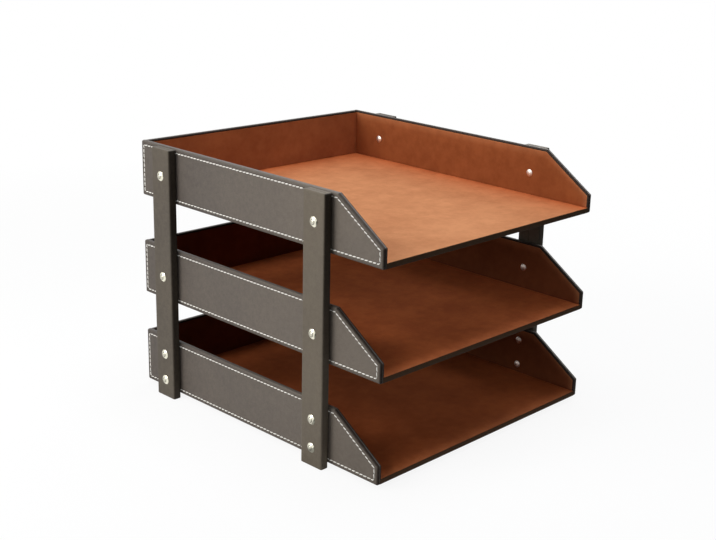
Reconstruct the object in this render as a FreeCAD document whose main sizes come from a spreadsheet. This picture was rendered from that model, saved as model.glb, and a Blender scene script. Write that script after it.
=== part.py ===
"""Three-tier letter tray of leather-wrapped boards, lined with suede and carried by four posts.

Millimetres. The origin is at the centre of the footprint on the table, +Z is up, the trays open towards -Y
and +X is to the right of someone who faces the open front.

Each tray is four stiff boards: a base, two sides and a back. Each board is wrapped in leather, which turns
over its open edges, and the inside is lined with suede. A row of stitches runs round every upright panel.
Four wrapped posts stand outside the side panels, and binding screws hold the trays between them.
"""

import FreeCAD, Part

import math
import os

import Sketcher

# Driving dimensions: alias, millimetres, what it measures
SIZES = (
    ("tray_width", "280", "over the outer faces of a tray's two side panels"),
    ("tray_depth", "315", "from the front edge of the base to the back face"),
    ("tray_height", "52", "from the underside of a tray to its top edge"),
    ("front_height", "17.5", "height of the short upright front edge of a side panel"),
    ("slant_length", "52", "run of the sloping edge, measured along the depth"),
    ("bottom_clearance", "4", "from the table to the underside of the bottom tray"),
    ("lower_spacing", "90", "from the bottom tray to the middle tray"),
    ("upper_spacing", "96", "from the middle tray to the top tray"),
    ("leather_thickness", "0.8", "of every leather cover"),
    ("board_thickness", "3.2", "of the boards inside the trays"),
    ("suede_thickness", "1", "of the linings"),
    ("lip", "2", "how far the leather turns down inside the open edges"),
    ("corner_round", "2", "rounding of a side panel's corners, seen from the side"),
    ("edge_round", "1.2", "rounding where leather turns over an outer edge"),
    ("lip_round", "0.6", "rounding where leather turns over an inner edge"),
    ("stitch_inset", "4", "from a panel's edge to the middle of the row of stitches"),
    ("thread_width", "0.7", "width of the row of stitches"),
    ("thread_depth", "0.4", "how deep the thread lies in the leather"),
    ("post_width", "26", "width of a post along the tray's depth"),
    ("post_thickness", "8", "thickness of a post, leather included"),
    ("post_gap", "0.3", "room for the stitches between a post and a side panel"),
    ("post_drop", "0.8", "how far the posts end below the top tray's top edge"),
    ("front_setback", "58", "from the trays' front edge to the front posts"),
    ("rear_setback", "27", "from the trays' back face to the rear posts"),
    ("post_round", "1.6", "rounding of a post's long edges"),
    ("post_end_round", "0.7", "rounding of a post's top and foot"),
    ("seam_gap", "0.6", "gap of the glued seam at the back of a post's leather"),
    ("screw_spacing", "26", "between the two screws that hold the bottom tray to one post"),
    ("barrel_diameter", "5", "outside of a barrel nut's tube"),
    ("barrel_clearance", "0.3", "how much wider than the tube its holes are"),
    ("barrel_short", "1.6", "how far the tube ends before the inner face of the lining"),
    ("nut_head_diameter", "9", "domed head outside the posts"),
    ("nut_head_height", "1.9", "height of that head"),
    ("shank_diameter", "3", "outside of the screw's shank"),
    ("shank_clearance", "0.1", "how much wider than the shank its bore is"),
    ("bore_floor", "1.5", "metal left between a barrel nut's bore and the seat of its head"),
    ("shank_short", "1", "how far the shank ends before the floor of the bore"),
    ("screw_head_diameter", "7", "head inside the trays"),
    ("screw_head_height", "1.3", "height of that head"),
    ("head_rim", "0.4", "upright rim under the dome of either head"),
    ("slot_width", "0.9", "driver slot of the inner head"),
    ("slot_depth", "0.7", "depth of that slot"),
)

OUTPUT = "parts"
SIDES = {"left": -1, "right": 1}
STATIONS = ("front", "rear")
SLOT_TURN = 50.0  # degrees between the slots of one screw and the next, as a screwdriver leaves them
SAME_PLACE = 1e-5  # two places nearer than this are one


class Size:
    """A length that knows both its value now and its formula in the sheet."""

    def __init__(self, value, formula):
        self.value = value
        self.formula = formula

    def __add__(self, other):
        other = as_size(other)
        return Size(self.value + other.value, f"({self.formula} + {other.formula})")

    def __sub__(self, other):
        other = as_size(other)
        return Size(self.value - other.value, f"({self.formula} - {other.formula})")

    def __mul__(self, other):
        other = as_size(other)
        return Size(self.value * other.value, f"({self.formula} * {other.formula})")

    def __truediv__(self, other):
        other = as_size(other)
        return Size(self.value / other.value, f"({self.formula} / {other.formula})")

    def __neg__(self):
        return Size(-self.value, f"(0 - {self.formula})")

    def root(self):
        """Square root of a plain number."""
        return Size(math.sqrt(self.value), f"sqrt({self.formula})")


def as_size(number):
    """A plain number as a Size; a Size stays as it is."""
    if isinstance(number, Size):
        return number
    return Size(float(number), f"({number})")


doc = FreeCAD.newDocument("letter_tray")


def make_sheet():
    """Writes the driving dimensions into the sheet and gives each one back as a Size."""
    sheet = doc.addObject("Spreadsheet::Sheet", "Sizes")
    for row, (alias, millimetres, meaning) in enumerate(SIZES, start=1):
        sheet.set(f"A{row}", alias)
        sheet.set(f"B{row}", millimetres)
        sheet.set(f"C{row}", meaning)
        sheet.setAlias(f"B{row}", alias)
    doc.recompute()
    return {alias: Size(float(sheet.get(alias)), f"Sizes.{alias}") for alias, _, _ in SIZES}


size = make_sheet()

# Measures that follow from the driving dimensions
leather = size["leather_thickness"]
skin_and_board = leather + size["board_thickness"]
wall = skin_and_board + size["suede_thickness"]
front = -size["tray_depth"] / 2
back = size["tray_depth"] / 2
half_width = size["tray_width"] / 2
inner_half_width = half_width - skin_and_board
height = size["tray_height"]
rise = (height - size["front_height"]) / size["slant_length"]
slant_ratio = (rise * rise + 1).root()

level = {"bottom": size["bottom_clearance"]}
level["middle"] = level["bottom"] + size["lower_spacing"]
level["top"] = level["middle"] + size["upper_spacing"]
post_height = level["top"] + height - size["post_drop"]

post_centre = {
    "front": front + size["front_setback"] + size["post_width"] / 2,
    "rear": back - size["rear_setback"] - size["post_width"] / 2,
}
screw_heights = {
    "bottom": (height / 2 - size["screw_spacing"] / 2, height / 2 + size["screw_spacing"] / 2),
    "middle": (height / 2,),
    "top": (height / 2,),
}
hole_diameter = size["barrel_diameter"] + size["barrel_clearance"]
grip = size["post_thickness"] + size["post_gap"] + wall


def bind(thing, **sizes):
    """Ties each named property of a thing to its size's formula."""
    for name, length in sizes.items():
        thing.setExpression(name, as_size(length).formula)


def place(thing, **sizes):
    """Ties a thing's x, y or z to a size; a coordinate that is left out stays zero."""
    for axis, length in sizes.items():
        thing.setExpression(f".Placement.Base.{axis}", as_size(length).formula)


def new_body(label):
    """An empty body with this label."""
    body = doc.addObject("PartDesign::Body", label)
    body.Label = label
    return body


def new_sketch(body, name, role, offset=0):
    """A sketch on one of the body's own origin planes, moved along the plane's normal by offset."""
    sketch = body.newObject("Sketcher::SketchObject", f"{body.Name}_{name}")
    plane = next(feature for feature in body.Origin.OriginFeatures if feature.Role == role)
    sketch.AttachmentSupport = [(plane, "")]
    sketch.MapMode = "FlatFace"
    sketch.setExpression(".AttachmentOffset.Base.z", as_size(offset).formula)
    return sketch


def vector_of(point):
    """A pair of sizes as a point of a sketch."""
    along, up = point
    return FreeCAD.Vector(as_size(along).value, as_size(up).value, 0)


def pin_point(sketch, geometry, end, point):
    """Fixes one end of a sketch line, or a circle's centre, at a pair of sizes."""
    for kind, length in zip(("DistanceX", "DistanceY"), point):
        length = as_size(length)
        index = sketch.addConstraint(Sketcher.Constraint(kind, -1, 1, geometry, end, length.value))
        sketch.setExpression(f"Constraints[{index}]", length.formula)


def draw_outline(sketch, corners):
    """Draws a closed outline of straight lines, with each corner pinned at its pair of sizes."""
    first = sketch.GeometryCount
    points = [vector_of(corner) for corner in corners]
    for point, following in zip(points, points[1:] + points[:1]):
        sketch.addGeometry(Part.LineSegment(point, following), False)
    for number, corner in enumerate(corners):
        following = (number + 1) % len(corners)
        sketch.addConstraint(Sketcher.Constraint("Coincident", first + number, 2, first + following, 1))
        pin_point(sketch, first + number, 1, corner)


def draw_circle(sketch, centre, diameter):
    """Draws a circle at a pair of sizes."""
    circle = Part.Circle(vector_of(centre), FreeCAD.Vector(0, 0, 1), diameter.value / 2)
    geometry = sketch.addGeometry(circle, False)
    pin_point(sketch, geometry, 3, centre)
    index = sketch.addConstraint(Sketcher.Constraint("Diameter", geometry, diameter.value))
    sketch.setExpression(f"Constraints[{index}]", diameter.formula)


def draw_domed_outline(sketch, corners):
    """Draws a closed outline whose first side is an arc centred on the sketch's own X axis.

    The arc falls from the first corner, on the head's rim, to the second, on the axis.
    """
    rim, crown = (vector_of(corner) for corner in corners[:2])
    centre_x = (crown.x**2 - rim.x**2 - rim.y**2) / (2 * (crown.x - rim.x))
    centre = FreeCAD.Vector(centre_x, 0, 0)
    circle = Part.Circle(centre, FreeCAD.Vector(0, 0, 1), crown.x - centre_x)
    start_angle = math.atan2(rim.y, rim.x - centre_x)
    arc = sketch.addGeometry(Part.ArcOfCircle(circle, 0, start_angle), False)
    sketch.addConstraint(Sketcher.Constraint("PointOnObject", arc, 3, -1))
    points = [vector_of(corner) for corner in corners[1:] + corners[:1]]
    for number, (point, following) in enumerate(zip(points, points[1:]), start=1):
        sketch.addGeometry(Part.LineSegment(point, following), False)
        pin_point(sketch, number, 1, corners[number])
        if number > 1:
            sketch.addConstraint(Sketcher.Constraint("Coincident", number - 1, 2, number, 1))
    last = len(corners) - 1
    pin_point(sketch, last, 2, corners[0])
    sketch.addConstraint(Sketcher.Constraint("Coincident", arc, 1, 1, 1))
    sketch.addConstraint(Sketcher.Constraint("Coincident", arc, 2, last, 2))


def pad(body, name, role, outlines, start, length, holes=()):
    """Pads closed outlines from an origin plane moved by start, with round holes at the centres given."""
    sketch = new_sketch(body, f"{name}_outline", role, start)
    for corners in outlines:
        draw_outline(sketch, corners)
    for centre in holes:
        draw_circle(sketch, centre, hole_diameter)
    feature = body.newObject("PartDesign::Pad", f"{body.Name}_{name}")
    feature.Profile = sketch
    bind(feature, Length=length)
    doc.recompute()


def pad_across(body, name, outlines, span, holes=()):
    """Pads outlines of Y and Z along X, between the low and the high end of the span."""
    low, high = span
    pad(body, name, "YZ_Plane", outlines, low, high - low, holes)


def revolve(body, corners):
    """Turns a domed outline about the X axis."""
    sketch = new_sketch(body, "profile", "XY_Plane")
    draw_domed_outline(sketch, corners)
    feature = body.newObject("PartDesign::Revolution", f"{body.Name}_turned")
    feature.Profile = sketch
    feature.ReferenceAxis = (sketch, ["H_Axis"])
    feature.Angle = 360


def round_edges(body, name, radius, wanted):
    """Fillets those edges of the body's last feature that pass the test wanted(edge)."""
    base = body.Tip
    edges = [f"Edge{number}" for number, edge in enumerate(base.Shape.Edges, start=1) if wanted(edge)]
    fillet = body.newObject("PartDesign::Fillet", f"{body.Name}_{name}")
    fillet.Base = (base, edges)
    bind(fillet, Radius=radius)
    doc.recompute()


def extent(edge, axis):
    """The lowest and highest place of an edge along X, Y or Z."""
    box = edge.BoundBox
    return {"X": (box.XMin, box.XMax), "Y": (box.YMin, box.YMax), "Z": (box.ZMin, box.ZMax)}[axis]


def lies_at(edge, axis, place_on_axis):
    """Whether an edge stays at one place along X, Y or Z."""
    target = as_size(place_on_axis).value
    return all(abs(end - target) < SAME_PLACE for end in extent(edge, axis))


def runs_across(edge, corners):
    """Whether an edge runs along X through one of the corners, which are pairs of Y and Z."""
    return any(lies_at(edge, "Y", y) and lies_at(edge, "Z", z) for y, z in corners)


def is_upright(edge):
    """Whether an edge runs straight up."""
    return all(high - low < SAME_PLACE for low, high in (extent(edge, "X"), extent(edge, "Y")))


def make_box(label, x, y, z):
    """A plain slab between a low and a high size along each axis."""
    box = doc.addObject("Part::Box", label)
    box.Label = label
    bind(box, Length=x[1] - x[0], Width=y[1] - y[0], Height=z[1] - z[0])
    place(box, x=x[0], y=y[0], z=z[0])
    return box


def carve(label, blank, tools):
    """Cuts each tool out of a blank in turn; the last cut carries the label."""
    for number, tool in enumerate(tools, start=1):
        cut = doc.addObject("Part::Cut", f"{label}_cut_{number}")
        cut.Base = blank
        cut.Tool = tool
        blank = cut
    blank.Label = label
    return blank


def gather(label, things):
    """Puts separate solids of one kind together as one sub-part."""
    group = doc.addObject("Part::Compound", label)
    group.Label = label
    group.Links = things
    return group


def across(side, near, far):
    """The low and high X of a layer that lies from near to far inwards of a tray's outer face."""
    if SIDES[side] < 0:
        return -half_width + near, -half_width + far
    return half_width - far, half_width - near


def side_outline(rear, bottom, edge):
    """The five corners, in Y and Z, of a side panel's outline drawn inside its edges.

    rear and bottom are the distances inside the back and the underside, and edge is the one inside the
    front, the slant and the top.
    """
    return [
        (back - rear, bottom),
        (back - rear, height - edge),
        (front + size["slant_length"] + edge * (slant_ratio - 1) / rise, height - edge),
        (front + edge, size["front_height"] - edge * (slant_ratio - rise)),
        (front + edge, bottom),
    ]


def lip_outline():
    """The band, in Y and Z, of leather that shows inside a side panel above the floor."""
    outer = side_outline(wall, wall, as_size(0))
    inner = side_outline(wall, wall, size["lip"])
    return outer[1:] + inner[:0:-1]


def side_holes(tier):
    """The centres, in Y and Z, of the screw holes of one side panel."""
    return [(post_centre[station], up) for station in STATIONS for up in screw_heights[tier]]


def stitch_edges():
    """How far the outer and the inner edge of a row of stitches lie inside a panel's edge."""
    middle = size["stitch_inset"]
    half_thread = size["thread_width"] / 2
    return middle - half_thread, middle + half_thread


def top_edge_at(face):
    """A test for the top edge on an upright face at this X; rounding it carries on along smooth corners."""
    return lambda edge: lies_at(edge, "X", face) and lies_at(edge, "Z", height)


def make_side_board(tier, side):
    """Stiff board inside a side panel."""
    body = new_body(f"{tier}_{side}_board")
    corners = side_outline(leather, leather, leather)
    pad_across(body, "slab", [corners], across(side, leather, skin_and_board), side_holes(tier))
    round_edges(body, "corners", size["corner_round"] - leather, lambda edge: runs_across(edge, corners))
    place(body, z=level[tier])
    return body


def make_side_thread(tier, side):
    """Row of stitches round a side panel, flush with the leather."""
    body = new_body(f"{tier}_{side}_thread")
    rings = [side_outline(inset, inset, inset) for inset in stitch_edges()]
    pad_across(body, "ring", rings, across(side, as_size(0), size["thread_depth"]))
    place(body, z=level[tier])
    return body


def make_side_cover(tier, side, board, thread):
    """Leather round a side board, with the lip that turns in over its open edges."""
    label = f"{tier}_{side}_cover"
    blank = new_body(f"{label}_blank")
    outline = side_outline(as_size(0), as_size(0), as_size(0))
    outer_face = half_width * SIDES[side]
    inner_face = (half_width - wall) * SIDES[side]
    pad_across(blank, "panel", [outline], across(side, as_size(0), skin_and_board), side_holes(tier))
    pad_across(blank, "lip", [lip_outline()], across(side, skin_and_board, wall))
    round_edges(blank, "corners", size["corner_round"], lambda edge: runs_across(edge, outline))
    round_edges(blank, "outer_rim", size["edge_round"], top_edge_at(outer_face))
    round_edges(blank, "inner_rim", size["lip_round"], top_edge_at(inner_face))
    place(blank, z=level[tier])
    return carve(label, blank, [board, thread])


def make_side_lining(tier, side):
    """Suede on the inside of a side panel, below the lip."""
    body = new_body(f"{tier}_{side}_lining")
    outline = side_outline(wall, wall, size["lip"])
    pad_across(body, "sheet", [outline], across(side, skin_and_board, wall), side_holes(tier))
    place(body, z=level[tier])
    return body


def make_back_thread(tier):
    """Row of stitches round the outside of a back panel, flush with the leather."""
    body = new_body(f"{tier}_back_thread")
    rings = []
    for inset in stitch_edges():
        reach = inner_half_width - inset
        rings.append([(-reach, inset), (reach, inset), (reach, height - inset), (-reach, height - inset)])
    pad(body, "ring", "XZ_Plane", rings, -back, size["thread_depth"])
    place(body, z=level[tier])
    return body


def make_back_cover(tier, thread):
    """Leather folded round a back board from its underside over the top, down to the lip inside."""
    label = f"{tier}_back_cover"
    blank = new_body(f"{label}_blank")
    under = height - leather
    fold = [
        (back, as_size(0)),
        (back, height),
        (back - wall, height),
        (back - wall, height - size["lip"]),
        (back - skin_and_board, height - size["lip"]),
        (back - skin_and_board, under),
        (back - leather, under),
        (back - leather, leather),
        (back - skin_and_board, leather),
        (back - skin_and_board, as_size(0)),
    ]
    pad_across(blank, "fold", [fold], (-inner_half_width, inner_half_width))
    outer_edges = [fold[0], fold[1]]
    inner_edge = [fold[2]]
    round_edges(blank, "outer_rims", size["edge_round"], lambda edge: runs_across(edge, outer_edges))
    round_edges(blank, "inner_rim", size["lip_round"], lambda edge: runs_across(edge, inner_edge))
    place(blank, z=level[tier])
    return carve(label, blank, [thread])


def make_base_cover(tier):
    """Leather under a base board, turned up over the open front edge as far as the suede's face."""
    body = new_body(f"{tier}_base_cover")
    fold = [
        (front, as_size(0)),
        (back - skin_and_board, as_size(0)),
        (back - skin_and_board, leather),
        (front + leather, leather),
        (front + leather, wall),
        (front, wall),
    ]
    pad_across(body, "fold", [fold], (-inner_half_width, inner_half_width))
    round_edges(body, "front_rim", size["edge_round"], lambda edge: runs_across(edge, fold[:1]))
    round_edges(body, "upper_rim", size["lip_round"], lambda edge: runs_across(edge, fold[-1:]))
    place(body, z=level[tier])
    return body


def make_flat_layers(tier):
    """The boards and linings of a tray that are plain rectangles, all between its two side panels."""
    lift = level[tier]
    between_sides = (-inner_half_width, inner_half_width)
    board_top = lift + skin_and_board
    floor_top = lift + wall
    before_back = back - skin_and_board
    return [
        make_box(
            f"{tier}_base_board",
            x=between_sides,
            y=(front + leather, before_back),
            z=(lift + leather, board_top),
        ),
        make_box(
            f"{tier}_floor_lining",
            x=between_sides,
            y=(front + leather, before_back),
            z=(board_top, floor_top),
        ),
        make_box(
            f"{tier}_back_board",
            x=between_sides,
            y=(before_back, back - leather),
            z=(lift + leather, lift + height - leather),
        ),
        make_box(
            f"{tier}_back_lining",
            x=between_sides,
            y=(back - wall, before_back),
            z=(floor_top, lift + height - size["lip"]),
        ),
    ]


def make_tray(tier):
    """Every sub-part of one tray."""
    threads = []
    parts = make_flat_layers(tier)
    for side in SIDES:
        board = make_side_board(tier, side)
        thread = make_side_thread(tier, side)
        parts += [board, make_side_cover(tier, side, board, thread), make_side_lining(tier, side)]
        threads.append(thread)
    back_thread = make_back_thread(tier)
    threads.append(back_thread)
    parts += [make_back_cover(tier, back_thread), make_base_cover(tier)]
    parts.append(gather(f"{tier}_stitching", threads))
    return parts


def make_post_slab(label, station, side, inset):
    """A post, or the core that lies inset deep within it, with the screw holes of all three trays."""
    body = new_body(label)
    middle = post_centre[station]
    reach = size["post_width"] / 2 - inset
    foot = inset
    top = post_height - inset
    corners = [(middle - reach, foot), (middle + reach, foot), (middle + reach, top), (middle - reach, top)]
    near = inset - size["post_thickness"] - size["post_gap"]
    far = -size["post_gap"] - inset
    holes = [(middle, level[tier] + up) for tier in level for up in screw_heights[tier]]
    pad_across(body, "slab", [corners], across(side, near, far), holes)
    round_edges(body, "long_edges", size["post_round"] - inset, is_upright)
    return body


def make_post(station, side):
    """The wooden core of a post and the leather glued round it, with its seam towards the trays."""
    label = f"{station}_{side}_post"
    core = make_post_slab(f"{label}_core", station, side, leather)
    blank = make_post_slab(f"{label}_blank", station, side, as_size(0))
    outer_face = (half_width + size["post_gap"] + size["post_thickness"]) * SIDES[side]
    for name, end in (("top_rim", post_height), ("foot_rim", as_size(0))):
        round_edges(
            blank,
            name,
            size["post_end_round"],
            lambda edge: lies_at(edge, "X", outer_face) and lies_at(edge, "Z", end),
        )
    half_seam = size["seam_gap"] / 2
    seam = make_box(
        f"{label}_seam",
        x=across(side, -size["post_gap"] - leather, -size["post_gap"]),
        y=(post_centre[station] - half_seam, post_centre[station] + half_seam),
        z=(leather, post_height - leather),
    )
    return [core, carve(f"{label}_cover", blank, [core, seam])]


def make_barrel_nut():
    """Domed head with a tube behind it, lying along X with the head towards +X and its seat at zero."""
    head = size["nut_head_diameter"] / 2
    tube = size["barrel_diameter"] / 2
    bore = size["shank_diameter"] / 2 + size["shank_clearance"] / 2
    tube_end = size["barrel_short"] - grip
    nut = new_body("barrel_nut")
    profile = [
        (size["head_rim"], head),
        (size["nut_head_height"], 0),
        (-size["bore_floor"], 0),
        (-size["bore_floor"], bore),
        (tube_end, bore),
        (tube_end, tube),
        (0, tube),
        (0, head),
    ]
    revolve(nut, profile)
    return nut


def make_screw():
    """Domed and slotted head with a plain shank, lying along X with the head towards +X."""
    head = size["screw_head_diameter"] / 2
    crown = size["screw_head_height"]
    shank = size["shank_diameter"] / 2
    shank_end = size["bore_floor"] + size["shank_short"] - grip
    half_slot = size["slot_width"] / 2
    turned = new_body("turned_screw")
    profile = [
        (size["head_rim"], head),
        (crown, 0),
        (shank_end, 0),
        (shank_end, shank),
        (0, shank),
        (0, head),
    ]
    revolve(turned, profile)
    slot = make_box(
        "driver_slot",
        x=(crown - size["slot_depth"], crown + size["slot_depth"]),
        y=(-half_slot, half_slot),
        z=(-head, head),
    )
    return carve("binding_screw", turned, [slot])


def make_fasteners(label, master, station, side, seat, facing, turn):
    """One fastener per screw hole of a post, seated at this X with its head facing along X.

    Each is turned about its own axis by turn degrees more than the one below it.
    """
    copies = []
    for tier in level:
        for up in screw_heights[tier]:
            copy = doc.addObject("App::Link", f"{label}_{len(copies) + 1}")
            copy.LinkedObject = master
            about_axis = FreeCAD.Rotation(FreeCAD.Vector(1, 0, 0), turn * (len(copies) + 1))
            about_upright = FreeCAD.Rotation(FreeCAD.Vector(0, 0, 1), 0 if facing > 0 else 180)
            copy.Placement.Rotation = about_upright.multiply(about_axis)
            place(copy, x=seat, y=post_centre[station], z=level[tier] + up)
            copies.append(copy)
    return gather(label, copies)


def make_frame():
    """Every sub-part of the four posts, with the fasteners that hold the trays."""
    nut = make_barrel_nut()
    screw = make_screw()
    parts = []
    for station in STATIONS:
        for side, hand in SIDES.items():
            post = f"{station}_{side}"
            outside = (half_width + size["post_gap"] + size["post_thickness"]) * hand
            inside = (half_width - wall) * hand
            parts += make_post(station, side)
            parts.append(make_fasteners(f"{post}_barrel_nuts", nut, station, side, outside, hand, 0.0))
            parts.append(make_fasteners(f"{post}_screws", screw, station, side, inside, -hand, SLOT_TURN))
    return parts


def check_document():
    """Stops when any object of the document was left failed."""
    failed = [thing.Label for thing in doc.Objects if {"Invalid", "Error"} & set(thing.State)]
    if failed:
        raise RuntimeError(f"failed objects: {', '.join(failed)}")


def check_shape(part):
    """Stops when a sub-part has no shape, a faulty one or one without solids."""
    shape = part.Shape
    if shape.isNull() or not shape.isValid() or not shape.Solids:
        raise RuntimeError(f"faulty shape: {part.Label}")


def export(parts):
    """Writes each sub-part to a file of its own name."""
    os.makedirs(OUTPUT, exist_ok=True)
    for part in parts:
        part.Shape.exportStep(os.path.join(OUTPUT, f"{part.Label}.step"))
        print(f"{part.Label}: {len(part.Shape.Solids)} solids, {part.Shape.Volume:.1f} mm3")


sub_parts = []
for tray_level in level:
    sub_parts += make_tray(tray_level)
sub_parts += make_frame()
doc.recompute()
check_document()
for sub_part in sub_parts:
    check_shape(sub_part)
export(sub_parts)
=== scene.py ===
"""Looks of a three-tier letter tray: boards wrapped in leather, suede linings, stitched edges, screwed posts.

Metres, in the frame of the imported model: +Z is up, the table is at zero and the trays open towards -Y.
Every leather, suede, thread and metal piece is worked out here round the model's nodes. The boards and the
post cores, which nothing shows, stay as they are packed.
"""

import logging
import math
from dataclasses import dataclass, field
from enum import Enum
from typing import Any, Callable, Mapping, Sequence

import bpy
import numpy as np
from mathutils import Matrix, Vector


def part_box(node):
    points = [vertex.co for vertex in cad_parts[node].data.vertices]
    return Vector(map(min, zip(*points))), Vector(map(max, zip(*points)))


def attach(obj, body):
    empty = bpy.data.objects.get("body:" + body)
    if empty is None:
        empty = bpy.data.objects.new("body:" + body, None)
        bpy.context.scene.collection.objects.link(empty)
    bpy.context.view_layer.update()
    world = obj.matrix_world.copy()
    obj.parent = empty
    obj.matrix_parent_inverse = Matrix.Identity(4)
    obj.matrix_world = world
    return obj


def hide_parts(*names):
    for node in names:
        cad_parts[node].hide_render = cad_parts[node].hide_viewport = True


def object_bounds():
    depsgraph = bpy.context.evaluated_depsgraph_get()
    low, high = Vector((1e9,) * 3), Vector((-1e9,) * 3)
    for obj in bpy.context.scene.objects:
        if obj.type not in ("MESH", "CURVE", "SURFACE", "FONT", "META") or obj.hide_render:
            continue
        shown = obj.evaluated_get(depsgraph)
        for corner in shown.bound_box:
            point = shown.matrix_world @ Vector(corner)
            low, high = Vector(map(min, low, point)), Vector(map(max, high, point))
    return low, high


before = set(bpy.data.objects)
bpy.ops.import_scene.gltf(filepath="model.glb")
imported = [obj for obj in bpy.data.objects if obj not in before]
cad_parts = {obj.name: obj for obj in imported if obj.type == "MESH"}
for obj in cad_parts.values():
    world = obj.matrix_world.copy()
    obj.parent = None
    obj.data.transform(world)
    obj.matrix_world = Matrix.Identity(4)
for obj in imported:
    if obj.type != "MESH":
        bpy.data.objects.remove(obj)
cad_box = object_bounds()

MM = 0.001
ROOT = "root"
QUARTER = math.pi / 2
Array = np.ndarray
Triple = tuple[float, float, float]
X_WAY: Triple = (1.0, 0.0, 0.0)
Y_WAY: Triple = (0.0, 1.0, 0.0)
Z_WAY: Triple = (0.0, 0.0, 1.0)
WHITE: Triple = (1.0, 1.0, 1.0)
ROLLED_ENDS = np.array([0.06, 0.16, 0.3, 0.45, 1.2]) * MM

log = logging.getLogger("letter_tray")


class Tier(Enum):
    """The three trays, from the table upwards."""

    BOTTOM = "bottom"
    MIDDLE = "middle"
    TOP = "top"


class Side(Enum):
    """The two sides, as someone who faces the open front sees them; the value is the sign of X."""

    LEFT = -1
    RIGHT = 1

    @property
    def word(self) -> str:
        """The side's name as the nodes spell it."""
        return self.name.lower()


class Station(Enum):
    """The two places of the posts along the trays' depth."""

    FRONT = "front"
    REAR = "rear"


class Slot(Enum):
    """The record's material slots."""

    LEATHER = "leather"
    SUEDE = "suede"
    BOARD = "board"
    NICKEL = "nickel"
    THREAD = "thread"


def smoothstep(value: Array) -> Array:
    """Three times the square less twice the cube of a value held between zero and one."""
    held = np.clip(value, 0.0, 1.0)
    return held * held * (3.0 - 2.0 * held)


def bell(distance: Array, width: float) -> Array:
    """One at zero, falling off with the square of the distance as a bell's curve of this width does."""
    return np.exp(-((distance / width) ** 2))


def edge_dip(distance: Array, radius: float) -> Array:
    """How far a quarter round has dropped at this distance from its edge.

    It is the radius less the root of its square less the square of what is left of it.

    Args:
        distance: Distances from the edge.
        radius: The quarter round's radius.

    Returns:
        The drop at each distance: the radius at the edge, and nothing further in than the radius.
    """
    left = np.clip(radius - distance, 0.0, radius)
    return radius - np.sqrt(radius**2 - left**2)


def lathe(radius: Array, place: Array, around: int) -> Array:
    """Rings about the X axis.

    Args:
        radius: Each ring's radius.
        place: Where each ring lies along X.
        around: How many points a ring has.

    Returns:
        Points as (rings, points of a ring, 3).
    """
    angle = np.linspace(0.0, 2 * np.pi, around, endpoint=False)
    rings = np.empty((len(radius), around, 3))
    rings[..., 0] = place[:, None]
    rings[..., 1] = radius[:, None] * np.cos(angle)
    rings[..., 2] = radius[:, None] * np.sin(angle)
    return rings


def quarter_round(steps: int) -> tuple[Array, Array]:
    """Sines and cosines of the angles from zero to a quarter turn."""
    angle = np.linspace(0.0, QUARTER, steps + 1)
    return np.sin(angle), np.cos(angle)


def spaced(low: float, high: float, step: float, ends: Sequence[float]) -> Array:
    """Places from low to high, close together at both ends.

    Args:
        low: The first place.
        high: The last place.
        step: About how far apart the places in the middle are.
        ends: Distances from either end that get a place of their own, smallest first.

    Returns:
        The places in rising order.
    """
    near = np.asarray(ends)
    count = max(2, round((high - low - 2 * near[-1]) / step))
    middle = np.linspace(low + near[-1], high - near[-1], count + 1)
    return np.concatenate([[low], low + near[:-1], middle, high - near[-2::-1], [high]])


def signed_volume(points: Array, polygons: Array) -> float:
    """Six times the volume inside polygons of one size, each a fan of triangles from its first corner.

    Args:
        points: The points.
        polygons: The numbers of each polygon's points.

    Returns:
        The volume, negative if the polygons face inwards.
    """
    first = points[polygons[:, 0]][:, None]
    second = points[polygons[:, 1:-1]]
    third = points[polygons[:, 2:]]
    return float((first * np.cross(second, third)).sum())


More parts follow.
